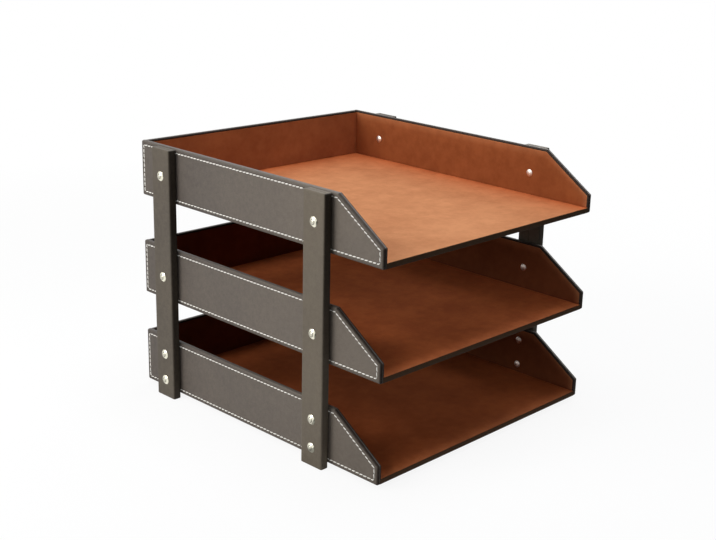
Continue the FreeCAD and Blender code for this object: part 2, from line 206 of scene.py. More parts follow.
@dataclass
class Draft:
    """The closed surfaces of one piece, gathered before they go into a mesh."""

    points: list[Array] = field(default_factory=list)
    faces: list[list[int]] = field(default_factory=list)
    values: dict[str, list[Array]] = field(default_factory=dict)
    count: int = 0

    def add_shells(self, rings: Array, inwards: bool = False, **values: Array) -> None:
        """Adds closed surfaces, each of rings joined one to the next and shut by a face at both ends.

        Args:
            rings: Points as (shells, rings, points of a ring, 3).
            inwards: Whether the faces look inwards, as those of a cavity do.
            values: Numbers or triples for each point, by the name of their attribute.
        """
        shells, along, around = rings.shape[:3]
        start = np.arange(along - 1)[:, None] * around
        step = np.arange(around)
        after = (step + 1) % around
        here, beside = start + step, start + after
        quads = np.stack([here, beside, beside + around, here + around], axis=-1).reshape(-1, 4)
        ends = np.stack([step[::-1], (along - 1) * around + step])
        first = rings[0].reshape(-1, 3)
        volume = signed_volume(first, quads) + signed_volume(first, ends)
        if (volume < 0) != inwards:
            quads, ends = quads[:, ::-1], ends[:, ::-1]
        offset = self.count + np.arange(shells)[:, None, None] * (along * around)
        self.faces += (quads[None] + offset).reshape(-1, 4).tolist()
        self.faces += (ends[None] + offset).reshape(-1, around).tolist()
        total = shells * along * around
        self.points.append(rings.reshape(total, 3))
        for name, value in values.items():
            self.values.setdefault(name, []).append(value.reshape(total, -1))
        self.count += total

    def to_mesh(self, name: str, sharp: float) -> bpy.types.Mesh:
        """Puts the surfaces into a mesh.

        Args:
            name: The mesh's name.
            sharp: Edges that turn by more than this angle are shaded sharp.

        Returns:
            The mesh, smooth and with the attributes that were given.
        """
        mesh = bpy.data.meshes.new(name)
        mesh.from_pydata(np.concatenate(self.points), [], self.faces)
        for attribute_name, parts in self.values.items():
            value = np.concatenate(parts).astype(np.float32)
            kind = "FLOAT" if value.shape[1] == 1 else "FLOAT_VECTOR"
            attribute = mesh.attributes.new(attribute_name, kind, "POINT")
            attribute.data.foreach_set("value" if kind == "FLOAT" else "vector", value.ravel())
        mesh.shade_smooth()
        mesh.set_sharp_from_angle(angle=sharp)
        mesh.update()
        return mesh


@dataclass
class NodeGraph:
    """The nodes of one material or world while they are put together."""

    tree: bpy.types.NodeTree

    def add(self, kind: str, inputs: Mapping[Any, Any] | None = None, **settings: Any) -> bpy.types.Node:
        """Adds a node.

        Args:
            kind: The node's type.
            inputs: For each input, by name or number, a plain value or the output that feeds it.
            settings: The node's own settings.

        Returns:
            The new node.
        """
        node = self.tree.nodes.new(kind)
        for name, value in settings.items():
            setattr(node, name, value)
        for name, value in (inputs or {}).items():
            if isinstance(value, bpy.types.NodeSocket):
                self.tree.links.new(value, node.inputs[name])
            else:
                node.inputs[name].default_value = value
        return node

    def coordinates(self, scale: Triple = (1.0, 1.0, 1.0)) -> Any:
        """Object coordinates, stretched, as an output."""
        source = self.add("ShaderNodeTexCoord").outputs["Object"]
        return self.add("ShaderNodeMapping", {"Vector": source, "Scale": scale}).outputs["Vector"]

    def noise(self, place: Any, scale: float, detail: float = 2.0, roughness: float = 0.5) -> Any:
        """Cloudy noise of about one cloud per 1/scale metres, as an output from zero to one."""
        inputs = {"Vector": place, "Scale": scale, "Detail": detail, "Roughness": roughness}
        return self.add("ShaderNodeTexNoise", inputs).outputs["Fac"]

    def spread(self, value: Any, from_low: float, from_high: float, low: float, high: float) -> Any:
        """A value carried from one range to another and held inside it, as an output."""
        inputs = {"Value": value, "From Min": from_low, "From Max": from_high, "To Min": low, "To Max": high}
        return self.add("ShaderNodeMapRange", inputs, clamp=True).outputs["Result"]

    def math(self, operation: str, first: Any, second: Any = 0.0) -> Any:
        """Arithmetic on one or two values, as an output."""
        return self.add("ShaderNodeMath", {0: first, 1: second}, operation=operation).outputs["Value"]

    def plus(self, base: Any, value: Any, share: float) -> Any:
        """A value with a share of another one added, as an output."""
        return self.math("ADD", base, self.math("MULTIPLY", value, share))

    def attribute(self, name: str) -> Any:
        """One of the mesh's own numbers, as an output."""
        return self.add("ShaderNodeAttribute", attribute_name=name).outputs["Fac"]

    def grey(self, value: Any) -> Any:
        """A value as a colour without hue, as an output."""
        return self.add("ShaderNodeCombineColor", {0: value, 1: value, 2: value}).outputs["Color"]

    def tones(self, share: Any, first: Triple, second: Triple) -> Any:
        """A colour between two plain ones, as an output."""
        return self.blend(share, opaque(first), opaque(second))

    def blend(self, share: Any, first: Any, second: Any, mode: str = "MIX") -> Any:
        """A mix of two colours.

        Args:
            share: How much of the second one there is, from zero to one.
            first: A colour, or the output that gives it.
            second: The other one.
            mode: How the second one acts on the first.

        Returns:
            The mix, as an output.
        """
        node = self.add("ShaderNodeMix", data_type="RGBA", blend_type=mode)
        for name, value in (("Factor_Float", share), ("A_Color", first), ("B_Color", second)):
            socket = next(entry for entry in node.inputs if entry.identifier == name)
            if isinstance(value, bpy.types.NodeSocket):
                self.tree.links.new(value, socket)
            else:
                socket.default_value = value
        return next(entry for entry in node.outputs if entry.identifier == "Result_Color")

    def bump(self, height: Any, strength: Any, distance: float, under: Any = None) -> Any:
        """A normal pushed about by a height.

        Args:
            height: The height, as an output.
            strength: How much of the push counts, from zero to one.
            distance: How far a height of one pushes.
            under: The normal that is pushed, if not the surface's own.

        Returns:
            The normal, as an output.
        """
        inputs = {"Height": height, "Strength": strength, "Distance": distance}
        if under is not None:
            inputs["Normal"] = under
        return self.add("ShaderNodeBump", inputs).outputs["Normal"]

    def surface(self, **inputs: Any) -> None:
        """Shades the material with one all-round shader; an underscore in an input's name is a space."""
        named = {name.replace("_", " "): value for name, value in inputs.items()}
        shader = self.add("ShaderNodeBsdfPrincipled", named)
        self.add("ShaderNodeOutputMaterial", {"Surface": shader.outputs["BSDF"]})


def opaque(colour: Triple) -> tuple[float, float, float, float]:
    """A colour with full cover."""
    return (*colour, 1.0)


@dataclass(frozen=True)
class Finish:
    """What every finish has: a name and the record's slot that it belongs to."""

    name: str
    slot: Slot

    def paint(self, graph: NodeGraph) -> None:
        """Fills a graph with the finish's nodes."""
        raise NotImplementedError

    def material(self) -> bpy.types.Material:
        """The finish's material, made the first time it is asked for.

        Returns:
            The material.
        """
        found = bpy.data.materials.get(self.name)
        if found is None:
            found = bpy.data.materials.new(self.name)
            found.use_nodes = True
            found.node_tree.nodes.clear()
            self.paint(NodeGraph(found.node_tree))
        return found


@dataclass(frozen=True)
class Leather(Finish):
    """Matt split leather: pebbled grain, faint clouds of colour, darker edges and a front painted paler.

    The wear and shade attribute says how far the leather is painted dark and matt: partly burnish from
    handling, mostly painted shade on edges, lips, grooves and faces where little light falls. The polish one
    says how far handling has rubbed it glossy.
    """

    slot: Slot = Slot.LEATHER
    light: Triple = (0.188, 0.158, 0.129)
    dark: Triple = (0.080, 0.066, 0.058)
    wear_and_shade_tone: Triple = (0.040, 0.030, 0.026)
    cloud_scale: float = 11.0
    fleck_scale: float = 260.0
    grain_scale: float = 950.0
    gloss: float = 0.3
    edge_polish: float = 0.12
    edge_gloss: float = 1.0
    grain_depth: float = 0.35
    worn_grain_depth: float = 0.08
    crease_tone: float = 0.82
    cloud_share: float = 0.30
    fleck_share: float = 0.26
    # Painted light: the colour grows paler from the back towards the front.
    front_light_share: float = 0.60
    front_light_from: float = 130.0 * MM
    front_light_to: float = -110.0 * MM

    def paint(self, graph: NodeGraph) -> None:
        """Pebbles are cells whose borders are creases; clouds and flecks vary the colour, and painted light
        makes it paler towards the front.

        Args:
            graph: The material's empty graph.
        """
        place = graph.coordinates()
        cloud = graph.noise(place, self.cloud_scale, 4.0, 0.6)
        fine = graph.noise(place, self.grain_scale * 0.7, 2.0)
        fleck = graph.spread(graph.noise(place, self.fleck_scale, 3.0, 0.7), 0.3, 0.7, 0.0, 1.0)
        cell = {"Vector": place, "Scale": self.grain_scale, "Randomness": 1.0}
        border = graph.add("ShaderNodeTexVoronoi", cell, feature="DISTANCE_TO_EDGE").outputs["Distance"]
        pebble = graph.spread(border, 0.0, 0.22, 0.0, 1.0)
        ahead = graph.add("ShaderNodeSeparateXYZ", {"Vector": place}).outputs["Y"]
        # Painted light, paler towards the front.
        front_light = graph.spread(ahead, self.front_light_from, self.front_light_to, 0.0, self.front_light_share)
        varied = graph.plus(graph.spread(cloud, 0.3, 0.7, 0.0, self.cloud_share), fleck, self.fleck_share)
        colour = graph.tones(graph.math("ADD", front_light, varied), self.dark, self.light)
        crease = graph.grey(graph.spread(pebble, 0.0, 1.0, self.crease_tone, 1.0))
        creased = graph.blend(1.0, colour, crease, "MULTIPLY")
        # Painted shade: the wear and shade attribute pulls the colour towards a dark tone, partly for
        # handling and mostly where little light falls.
        worn_and_shaded, rubbed = graph.attribute("wear"), graph.attribute("polish")
        patchy = graph.math("MULTIPLY", worn_and_shaded, graph.spread(fine, 0.3, 0.7, 0.75, 1.0))
        matt = graph.spread(cloud, 0.3, 0.7, 0.52, 0.66)
        plain_gloss = graph.spread(worn_and_shaded, 0.0, 1.0, self.gloss, 0.0)
        rubbed_gloss = graph.math("MULTIPLY", rubbed, self.edge_gloss)
        smoothed = graph.math("MAXIMUM", worn_and_shaded, rubbed)
        depth = graph.spread(smoothed, 0.0, 1.0, self.grain_depth, self.worn_grain_depth)
        graph.surface(
            Base_Color=graph.blend(patchy, creased, opaque(self.wear_and_shade_tone)),
            Roughness=graph.math("SUBTRACT", matt, graph.math("MULTIPLY", rubbed, self.edge_polish)),
            Specular_IOR_Level=graph.math("MAXIMUM", plain_gloss, rubbed_gloss),
            Normal=graph.bump(graph.plus(pebble, fine, 0.6), depth, 0.12 * MM),
        )


@dataclass(frozen=True)
class Suede(Finish):
    """Brushed suede: blotches where the nap lies another way, faint brush strokes and a fine pile."""

    slot: Slot = Slot.SUEDE
    light: Triple = (0.66, 0.168, 0.050)
    dark: Triple = (0.46, 0.104, 0.029)
    # Painted light: a paler pair of tones for where light falls on the suede.
    painted_light_tone: Triple = (0.735, 0.323, 0.150)
    painted_light_dark_tone: Triple = (0.565, 0.226, 0.099)
    blotch_scale: float = 21.0
    mottle_scale: float = 95.0
    pile_scale: float = 1100.0
    blotch_share: float = 0.55
    mottle_share: float = 0.45
    pile_share: float = 0.25

    def paint(self, graph: NodeGraph) -> None:
        """Blotches and a finer mottling pick between two tones; the pile speckles and roughens them.

        The painted light attribute says how far the suede is painted towards a paler pair of tones where
        light falls on it.

        Args:
            graph: The material's empty graph.
        """
        place = graph.coordinates()
        blotch = graph.noise(place, self.blotch_scale, 4.0, 0.6)
        mottle = graph.noise(place, self.mottle_scale, 4.0, 0.65)
        pile = graph.noise(place, self.pile_scale, 2.0, 0.7)
        mixed = graph.plus(graph.math("MULTIPLY", blotch, self.blotch_share), mottle, self.mottle_share)
        tone = graph.plus(graph.spread(mixed, 0.38, 0.62, 0.0, 0.75), pile, self.pile_share)
        deep = graph.tones(tone, self.dark, self.light)
        painted_light_colour = graph.tones(tone, self.painted_light_dark_tone, self.painted_light_tone)
        soft = graph.bump(mixed, 0.4, 0.5 * MM)
        graph.surface(
            # Painted light picks the paler tones where light falls.
            Base_Color=graph.blend(graph.attribute("fade"), deep, painted_light_colour),
            Roughness=graph.spread(pile, 0.2, 0.8, 0.86, 1.0),
            Specular_IOR_Level=0.05,
            Sheen_Weight=0.05,
            Sheen_Roughness=0.5,
            Sheen_Tint=opaque((1.0, 0.62, 0.40)),
            Normal=graph.bump(pile, 0.5, 0.15 * MM, soft),
        )


@dataclass(frozen=True)
class Thread(Finish):
    """Waxed off-white thread of twisted strands."""

    slot: Slot = Slot.THREAD
    light: Triple = (0.99, 0.97, 0.92)
    dark: Triple = (0.92, 0.89, 0.82)
    twists: float = 5.2

    def paint(self, graph: NodeGraph) -> None:
        """Twisted strands show where the sine of the angle round plus a share of the way along is high.

        The strand attribute holds the cosine and sine round the thread, and the way along in diameters.

        Args:
            graph: The material's empty graph.
        """
        strand = graph.add("ShaderNodeAttribute", attribute_name="strand").outputs["Vector"]
        parts = graph.add("ShaderNodeSeparateXYZ", {"Vector": strand}).outputs
        phase = graph.math("MULTIPLY", parts["Z"], self.twists)
        rising = graph.math("MULTIPLY", parts["Y"], graph.math("COSINE", phase))
        falling = graph.math("MULTIPLY", parts["X"], graph.math("SINE", phase))
        wave = graph.spread(graph.math("ADD", rising, falling), -1.0, 1.0, 0.0, 1.0)
        fuzz = graph.noise(graph.coordinates(), 2600.0, 2.0)
        tone = graph.plus(graph.math("MULTIPLY", wave, 0.6), fuzz, 0.5)
        graph.surface(
            Base_Color=graph.tones(tone, self.dark, self.light),
            Roughness=graph.spread(fuzz, 0.2, 0.8, 0.45, 0.65),
            Specular_IOR_Level=0.5,
            Normal=graph.bump(wave, 0.5, 0.08 * MM),
        )


@dataclass(frozen=True)
class Nickel(Finish):
    """Polished nickel plate with fine turning marks and a few rubbed patches.

    The tarnish and reflection attribute says how dark and dull the plate is, from zero to one: patina in a
    nut's groove, and a painted dark reflection on its crown.
    """

    slot: Slot = Slot.NICKEL
    colour: Triple = (0.87, 0.84, 0.69)
    dull: Triple = (0.72, 0.69, 0.55)
    tarnish_and_reflection_tone: Triple = (0.15, 0.14, 0.12)
    smooth: float = 0.08
    rough: float = 0.18
    tarnish_rough: float = 0.3

    def paint(self, graph: NodeGraph) -> None:
        """Noise dulls patches of the plate, and a finer noise scratches it.

        Args:
            graph: The material's empty graph.
        """
        place = graph.coordinates()
        patch = graph.noise(place, 420.0, 3.0, 0.6)
        scratch = graph.noise(graph.coordinates((1.0, 1.0, 6.0)), 2400.0, 2.0)
        tarnish = graph.attribute("tarnish")
        bright = graph.tones(graph.spread(patch, 0.45, 0.75, 0.0, 1.0), self.colour, self.dull)
        rough = graph.spread(patch, 0.35, 0.7, self.smooth, self.rough)
        graph.surface(
            # Darkened by the tarnish and reflection attribute: patina in the groove, painted dark reflection
            # on the crown.
            Base_Color=graph.blend(tarnish, bright, opaque(self.tarnish_and_reflection_tone)),
            Metallic=1.0,
            Roughness=graph.plus(rough, tarnish, self.tarnish_rough),
            Normal=graph.bump(scratch, 0.12, 0.03 * MM),
        )


@dataclass(frozen=True)
class Fibreboard(Finish):
    """Pressed fibreboard inside the panels and posts: pale felted fibres with darker flecks."""

    slot: Slot = Slot.BOARD
    light: Triple = (0.58, 0.46, 0.33)
    dark: Triple = (0.42, 0.31, 0.20)

    def paint(self, graph: NodeGraph) -> None:
        """Stretched noise lays the fibres down, and fine noise adds flecks.

        Args:
            graph: The material's empty graph.
        """
        fibres = graph.noise(graph.coordinates((1.0, 1.0, 5.0)), 380.0, 4.0, 0.7)
        flecks = graph.noise(graph.coordinates(), 900.0, 2.0)
        tone = graph.plus(graph.math("MULTIPLY", fibres, 0.7), flecks, 0.3)
        graph.surface(
            Base_Color=graph.tones(graph.spread(tone, 0.35, 0.65, 0.0, 1.0), self.dark, self.light),
            Roughness=0.9,
            Specular_IOR_Level=0.2,
            Normal=graph.bump(tone, 0.4, 0.2 * MM),
        )


PANEL_LEATHER = Leather("panel_leather")
# Its near-black wear and shade tone paints shade on the posts' narrow faces.
POST_LEATHER = Leather(
    "post_leather",
    light=(0.176, 0.146, 0.108),
    dark=(0.071, 0.057, 0.043),
    wear_and_shade_tone=(0.020, 0.015, 0.012),
    grain_scale=1250.0,
)
# Its wear and shade tone paints shade, with a warm cast, on the base's turned-up front.
BASE_LEATHER = Leather(
    "base_leather",
    light=(0.130, 0.090, 0.060),
    dark=(0.070, 0.048, 0.032),
    wear_and_shade_tone=(0.085, 0.048, 0.028),
    gloss=0.1,
)
FLOOR_SUEDE = Suede("floor_suede")
# Painted shade: a darker copy of the floor's suede for the bottom tray, where little light falls.
SHADED_FLOOR_SUEDE = Suede("shaded_floor_suede", light=(0.44, 0.109, 0.031), dark=(0.30, 0.067, 0.018))
# The walls' suede is darker than the floor's, partly nap brushed another way and partly painted shade.
WALL_SUEDE = Suede("wall_suede", light=(0.36, 0.110, 0.037), dark=(0.25, 0.070, 0.023))
# Painted shade: a darker copy of the walls' suede for the lower trays, where less light falls.
SHADED_WALL_SUEDE = Suede("shaded_wall_suede", light=(0.235, 0.073, 0.029), dark=(0.165, 0.048, 0.019))
LINEN_THREAD = Thread("waxed_thread")
PLATED_NICKEL = Nickel("plated_nickel")
# Its pinkish colour is partly the plate's own tone and partly a painted reflection of the orange suede round
# the screws.
SATIN_NICKEL = Nickel(
    "satin_nickel",
    colour=(0.86, 0.76, 0.70),
    dull=(0.62, 0.54, 0.49),
    smooth=0.40,
    rough=0.55,
)
HIDDEN_BOARD = Fibreboard("fibreboard")


def put_in_scene(name: str, data: bpy.types.ID) -> bpy.types.Object:
    """Makes an object that shows some data and puts it into the scene.

    Args:
        name: The object's name.
        data: Its mesh, camera or lamp.

    Returns:
        The object.
    """
    made = bpy.data.objects.new(name, data)
    bpy.context.scene.collection.objects.link(made)
    return made


def make_piece(
    name: str, draft: Draft, finish: Finish, stands_for: Sequence[str], sharp: float = math.radians(50.0)
) -> bpy.types.Object:
    """Turns a draft into a piece of the object.

    Args:
        name: The piece's name.
        draft: Its surfaces.
        finish: Its finish.
        stands_for: The model's nodes that it is shown in place of.
        sharp: Edges that turn by more than this angle are shaded sharp.

    Returns:
        The piece, riding on the object's one body.
    """
    mesh = draft.to_mesh(name, sharp)
    mesh.materials.append(finish.material())
    piece = put_in_scene(name, mesh)
    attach(piece, ROOT)
    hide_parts(*stands_for)
    log.info("%s: %d points, %d faces, %s", name, len(mesh.vertices), len(mesh.polygons), finish.name)
    return piece


@dataclass(frozen=True)
class Outline:
    """A convex outline of straight edges and rounded corners, walked anticlockwise.

    Attributes:
        corners: The sharp corners, as pairs of along and up.
        spacing: About how far apart the points of a straight edge are.
        turn_steps: Steps round one corner.
        marks: For an edge, by number, the shares of its length that get a point instead.
    """

    corners: tuple[tuple[float, float], ...]
    spacing: float = 1.15 * MM
    turn_steps: int = 5
    marks: Mapping[int, Array] = field(default_factory=dict)

    def normals(self) -> Array:
        """Outward unit normals of the edges; an edge starts at the corner of its number.

        Returns:
            Normals as (edges, 2).
        """
        corners = np.array(self.corners)
        edge = np.roll(corners, -1, axis=0) - corners
        normal = np.stack([edge[:, 1], -edge[:, 0]], axis=1)
        return normal / np.linalg.norm(normal, axis=1)[:, None]

    def shares(self, edge: int) -> Array:
        """Shares of an edge's length that get a point, between the arcs at its two ends.

        Args:
            edge: The edge's number.

        Returns:
            The shares in rising order.
        """
        if edge in self.marks:
            return self.marks[edge]
        start, end = self.corners[edge], self.corners[(edge + 1) % len(self.corners)]
        count = max(2, round(math.dist(start, end) / self.spacing))
        return np.arange(1, count) / count

    def rings(self, inset: Array, radius: Array) -> Array:
        """Copies of the outline, each drawn inside it.

        An edge moves in by the inset. A corner moves along its mitre, the sum of its two normals divided by
        one more than their product, and the arc's centre lies a further radius along the mitre.

        Args:
            inset: How far inside the outline each copy lies.
            radius: The radius of each copy's corners.

        Returns:
            Points as (copies, points round, 2).
        """
        normal = self.normals()
        before = np.roll(normal, 1, axis=0)
        cosine = (before * normal).sum(axis=1)
        mitre = (before + normal) / (1.0 + cosine)[:, None]
        turn = np.arctan2(before[:, 0] * normal[:, 1] - before[:, 1] * normal[:, 0], cosine)
        start = np.arctan2(before[:, 1], before[:, 0])
        angle = start[:, None] + turn[:, None] * np.linspace(0.0, 1.0, self.turn_steps + 1)
        spoke = np.stack([np.cos(angle), np.sin(angle)], axis=-1)
        centre = np.array(self.corners)[None] - (inset + radius)[:, None, None] * mitre[None]
        arcs = centre[:, :, None] + radius[:, None, None, None] * spoke[None]
        parts = []
        for edge in range(len(self.corners)):
            share = self.shares(edge)[None, :, None]
            end = arcs[:, (edge + 1) % len(self.corners), 0]
            parts += [arcs[:, edge], arcs[:, edge, -1][:, None] * (1.0 - share) + end[:, None] * share]
        return np.concatenate(parts, axis=1)

    def spread(self, values: Sequence[float]) -> Array:
        """Carries one value per edge to the points of a ring, changing evenly round the corners.

        Args:
            values: A value for each edge.

        Returns:
            A value for each point of a ring.
        """
        parts = []
        for edge, value in enumerate(values):
            parts.append(np.linspace(values[edge - 1], value, self.turn_steps + 1))
            parts.append(np.full(len(self.shares(edge)), value))
        return np.concatenate(parts)


@dataclass(frozen=True)
class Place:
    """Where a flat drawing lies in the frame: its origin, and which way along, up and inwards point."""

    origin: Triple
    along: Triple
    up: Triple
    inwards: Triple

    def points(self, drawing: Array, depth: Array) -> Array:
        """Points for pairs of along and up that lie this deep behind the drawing."""
        origin, along, up, inwards = (np.array(v) for v in (self.origin, self.along, self.up, self.inwards))
        return origin + drawing[..., :1] * along + drawing[..., 1:] * up + depth[..., None] * inwards


@dataclass(frozen=True)
class StitchRow:
    """A closed row of saddle stitches, each a short arched thread that dives into the leather at its ends."""

    path: Array
    place: Place
    depth: float
    pitch: float = 4.5 * MM
    gap_share: float = 0.18
    thread: float = 1.15 * MM
    flat_share: float = 0.75
    slant: float = 0.5 * MM
    arch: float = 0.36 * MM
    along_steps: int = 9
    around_steps: int = 6

    def lengths(self) -> Array:
        """How far along the closed path each point is, with the whole length last."""
        step = np.linalg.norm(np.diff(np.vstack([self.path, self.path[:1]]), axis=0), axis=1)
        return np.concatenate([[0.0], np.cumsum(step)])

    def true_pitch(self) -> float:
        """The pitch nearest to the wanted one that fits the row a whole number of times."""
        length = self.lengths()[-1]
        return length / round(length / self.pitch)

    def at(self, distance: Array) -> Array:
        """Points of the path at these distances along it.

        Args:
            distance: Distances along the closed path, which may lie before its start or past its end.

        Returns:
            The points, with along and up as the last dimension.
        """
        lengths = self.lengths()
        closed = np.vstack([self.path, self.path[:1]])
        wrapped = np.mod(distance, lengths[-1])
        return np.stack([np.interp(wrapped, lengths, closed[:, axis]) for axis in (0, 1)], axis=-1)

    def sew(self, draft: Draft) -> None:
        """Adds every stitch to a draft.

        A stitch runs a little askew to the row. Its height above the leather is the arch times a low power of
        the sine of half a turn along it, and its thickness falls off the same way at the ends.

        Args:
            draft: What the stitches are added to.
        """
        pitch = self.true_pitch()
        count = round(self.lengths()[-1] / pitch)
        share = np.linspace(0.0, 1.0, self.along_steps)
        swell = np.sin(np.pi * np.clip(share, 0.03, 0.97)) ** 0.36
        distance = (np.arange(count)[:, None] + self.gap_share / 2 + share * (1.0 - self.gap_share)) * pitch
        centre = self.at(distance)
        near = 0.05 * pitch
        ahead = self.at(distance + near) - self.at(distance - near)
        ahead /= np.linalg.norm(ahead, axis=-1)[..., None]
        across = np.stack([ahead[..., 1], -ahead[..., 0]], axis=-1)
        centre = centre + across * ((share - 0.5) * self.slant)[:, None]
        turn = np.linspace(0.0, 2 * np.pi, self.around_steps, endpoint=False)
        radius = self.thread / 2 * (0.45 + 0.55 * swell)
        sideways = radius[:, None] * np.cos(turn)
        lift = radius[:, None] * np.sin(turn) * self.flat_share + (swell * self.arch)[:, None]
        drawing = centre[:, :, None] + across[:, :, None] * sideways[None, :, :, None]
        depth = np.broadcast_to(self.depth + self.arch - lift, drawing.shape[:3])
        strand = np.empty(drawing.shape[:3] + (3,))
        strand[..., 0] = np.cos(turn)
        strand[..., 1] = np.sin(turn)
        strand[..., 2] = (distance / self.thread)[:, :, None]
        draft.add_shells(self.place.points(drawing, depth), strand=strand)


@dataclass(frozen=True)
class TraySizes:
    """The measures of one tray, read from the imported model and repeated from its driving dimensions."""

    level: float
    height: float
    half_width: float
    front: float
    back: float
    board_depth: float
    wall_depth: float
    leather: float = 0.8 * MM
    front_rise: float = 17.5 * MM
    slant_run: float = 52.0 * MM
    lip: float = 2.0 * MM

    @classmethod
    def of(cls, tier: Tier) -> "TraySizes":
        """Reads a tray's measures from the boxes of its left cover and left lining.

        Args:
            tier: Which tray it is.

        Returns:
            The tray's measures.
        """
        low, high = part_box(f"{tier.value}_left_cover")
        lining_low, lining_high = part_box(f"{tier.value}_left_lining")
        return cls(
            level=low.z,
            height=high.z - low.z,
            half_width=-low.x,
            front=low.y,
            back=high.y,
            board_depth=lining_low.x - low.x,
            wall_depth=lining_high.x - low.x,
        )

    @property
    def slope(self) -> float:
        """Rise of the slanting edge for each metre along."""
        return (self.height - self.front_rise) / self.slant_run

    def edge_height(self, along: Array, inset: float) -> Array:
        """Height of the side's top or slanting edge, drawn inset inside it, at places along the depth."""
        slant = self.front_rise + self.slope * (along - self.front) - inset * math.hypot(1.0, self.slope)
        return np.minimum(slant, self.height - inset)


@dataclass(frozen=True)
class LeatherPanel:
    """Leather wrapped round an upright board, stitched near its edges and turned in over the open ones.

    Attributes:
        outline: The panel's outline, seen from outside.
        place: Where the outline lies.
        open_edges: For each edge, one if the leather turns in over it and zero if another board butts there.
        board_depth: From the outer face to the far side of the board.
        wall_depth: From the outer face to the inner face of the lining.
        set_back: How far the leather lies behind the outline's plane, which leaves room for the thread.
        corner_round: Rounding of the outline's corners.
        edge_wear: For each edge, how dark it is painted, from zero to one: mostly painted shade where
        little light falls on the edge, partly handling.
        edge_polish: For each edge, how glossy handling has rubbed it, from zero to one.
        open_until: Past this place along, no edge is open.
        open_above: Below this height, no edge is open.
    """

    outline: Outline
    place: Place
    open_edges: tuple[float, ...]
    board_depth: float
    wall_depth: float
    set_back: float
    corner_round: float
    edge_wear: tuple[float, ...]
    edge_polish: tuple[float, ...]
    leather: float = 0.8 * MM
    lip: float = 2.0 * MM
    open_until: float = math.inf
    open_above: float = -math.inf
    edge_round: float = 2.0 * MM
    inner_round: float = 1.3 * MM
    butt_round: float = 0.3 * MM
    cut_round: float = 0.12 * MM
    stitch_inset: float = 4.0 * MM
    stitch_round: float = 1.6 * MM
    groove: float = 0.42 * MM
    groove_width: float = 0.62 * MM
    puff: float = 0.06 * MM
    puff_width: float = 0.9 * MM
    filled_inset: float = 9.0 * MM
    thread_rise: float = 0.22 * MM
    thread_sink: float = 0.3 * MM
    outer_steps: int = 5
    inner_steps: int = 4
    # The band beside the stitches is partly handling and partly painted shade; the groove's darkness is
    # painted shade.
    band_wear: float = 0.25
    groove_wear: float = 0.45
    rim_reach: float = 1.1 * MM
    rim_polish: float = 0.6
    crest_share: float = 0.5
    lip_rings: float = 4.0

    def face_insets(self) -> Array:
        """Insets of the rings on the outer face, from the middle outwards, closest at the stitches."""
        beside = np.array([1.2, 0.85, 0.6, 0.4, 0.2, 0.0, -0.2, -0.4, -0.6, -0.85, -1.2]) * MM
        return np.concatenate([[self.filled_inset, 7.2 * MM], self.stitch_inset + beside, [2.4 * MM]])

    def face_radii(self, inset: Array) -> Array:
        """Corner radii of the outer face's rings: the panel's own at its edge, the stitches' further in.

        Args:
            inset: The insets of the rings.

        Returns:
            A radius for each ring.
        """
        share = (inset - self.edge_round) / (self.stitch_inset - self.edge_round)
        outer = max(self.corner_round - self.edge_round, self.butt_round)
        return outer + (self.stitch_round - outer) * np.clip(share, 0.0, 1.0)

    def row(self) -> StitchRow:
        """The row of stitches."""
        path = self.outline.rings(np.array([self.stitch_inset]), np.array([self.stitch_round]))[0]
        return StitchRow(path, self.place, self.set_back - self.thread_rise + self.thread_sink)

    def face_depth(self, inset: Array) -> Array:
        """Depth of the outer face's points.

        The leather dips into a groove under the stitches, most where a stitch dives, and puffs up a little
        between the groove and the edge. Both fall off as bells do.

        Args:
            inset: The insets of the rings.

        Returns:
            Depths as (rings, points round).
        """
        row = self.row()
        phase = 2.0 * np.pi * row.lengths()[:-1] / row.true_pitch()
        dimple = 0.72 + 0.28 * np.cos(phase)
        groove = self.groove * bell(inset - self.stitch_inset, self.groove_width)
        puff = self.puff * bell(inset - self.stitch_inset / 2, self.puff_width)
        return self.set_back + groove[:, None] * dimple - puff[:, None]

    def fold(self, depth: float, lip: float, inner_round: float) -> tuple[Array, Array]:
        """The section of the leather from the outer face's rim round the board and back inside.

        A quarter round leads over the outer edge onto the rim, which has one point in its middle. A second
        quarter round leads over the inner edge, then the lip runs down to its cut, and the hidden side goes
        back one thickness of leather further in.

        Args:
            depth: How deep the fold reaches.
            lip: How far the leather comes down inside.
            inner_round: Radius of the second quarter round.

        Returns:
            Insets and depths of the section's points.
        """
        sine, cosine = quarter_round(self.outer_steps)
        outer_inset = self.edge_round * (1.0 - sine)
        outer_depth = self.set_back + self.edge_round * (1.0 - cosine)
        inner_sine, inner_cosine = quarter_round(self.inner_steps)
        inner_inset = inner_round * (1.0 - inner_cosine)
        inner_depth = depth - inner_round + inner_round * inner_sine
        middle_depth = (outer_depth[-1] + inner_depth[0]) / 2
        cut = self.cut_round
        hidden = self.set_back + self.leather
        tail_inset = [lip - cut, lip, lip, self.leather, self.leather, self.filled_inset]
        tail_depth = [depth, depth - cut, depth - self.leather / 2, depth - self.leather, hidden, hidden]
        return (
            np.concatenate([outer_inset, [0.0], inner_inset, tail_inset]),
            np.concatenate([outer_depth, [middle_depth], inner_depth, tail_depth]),
        )

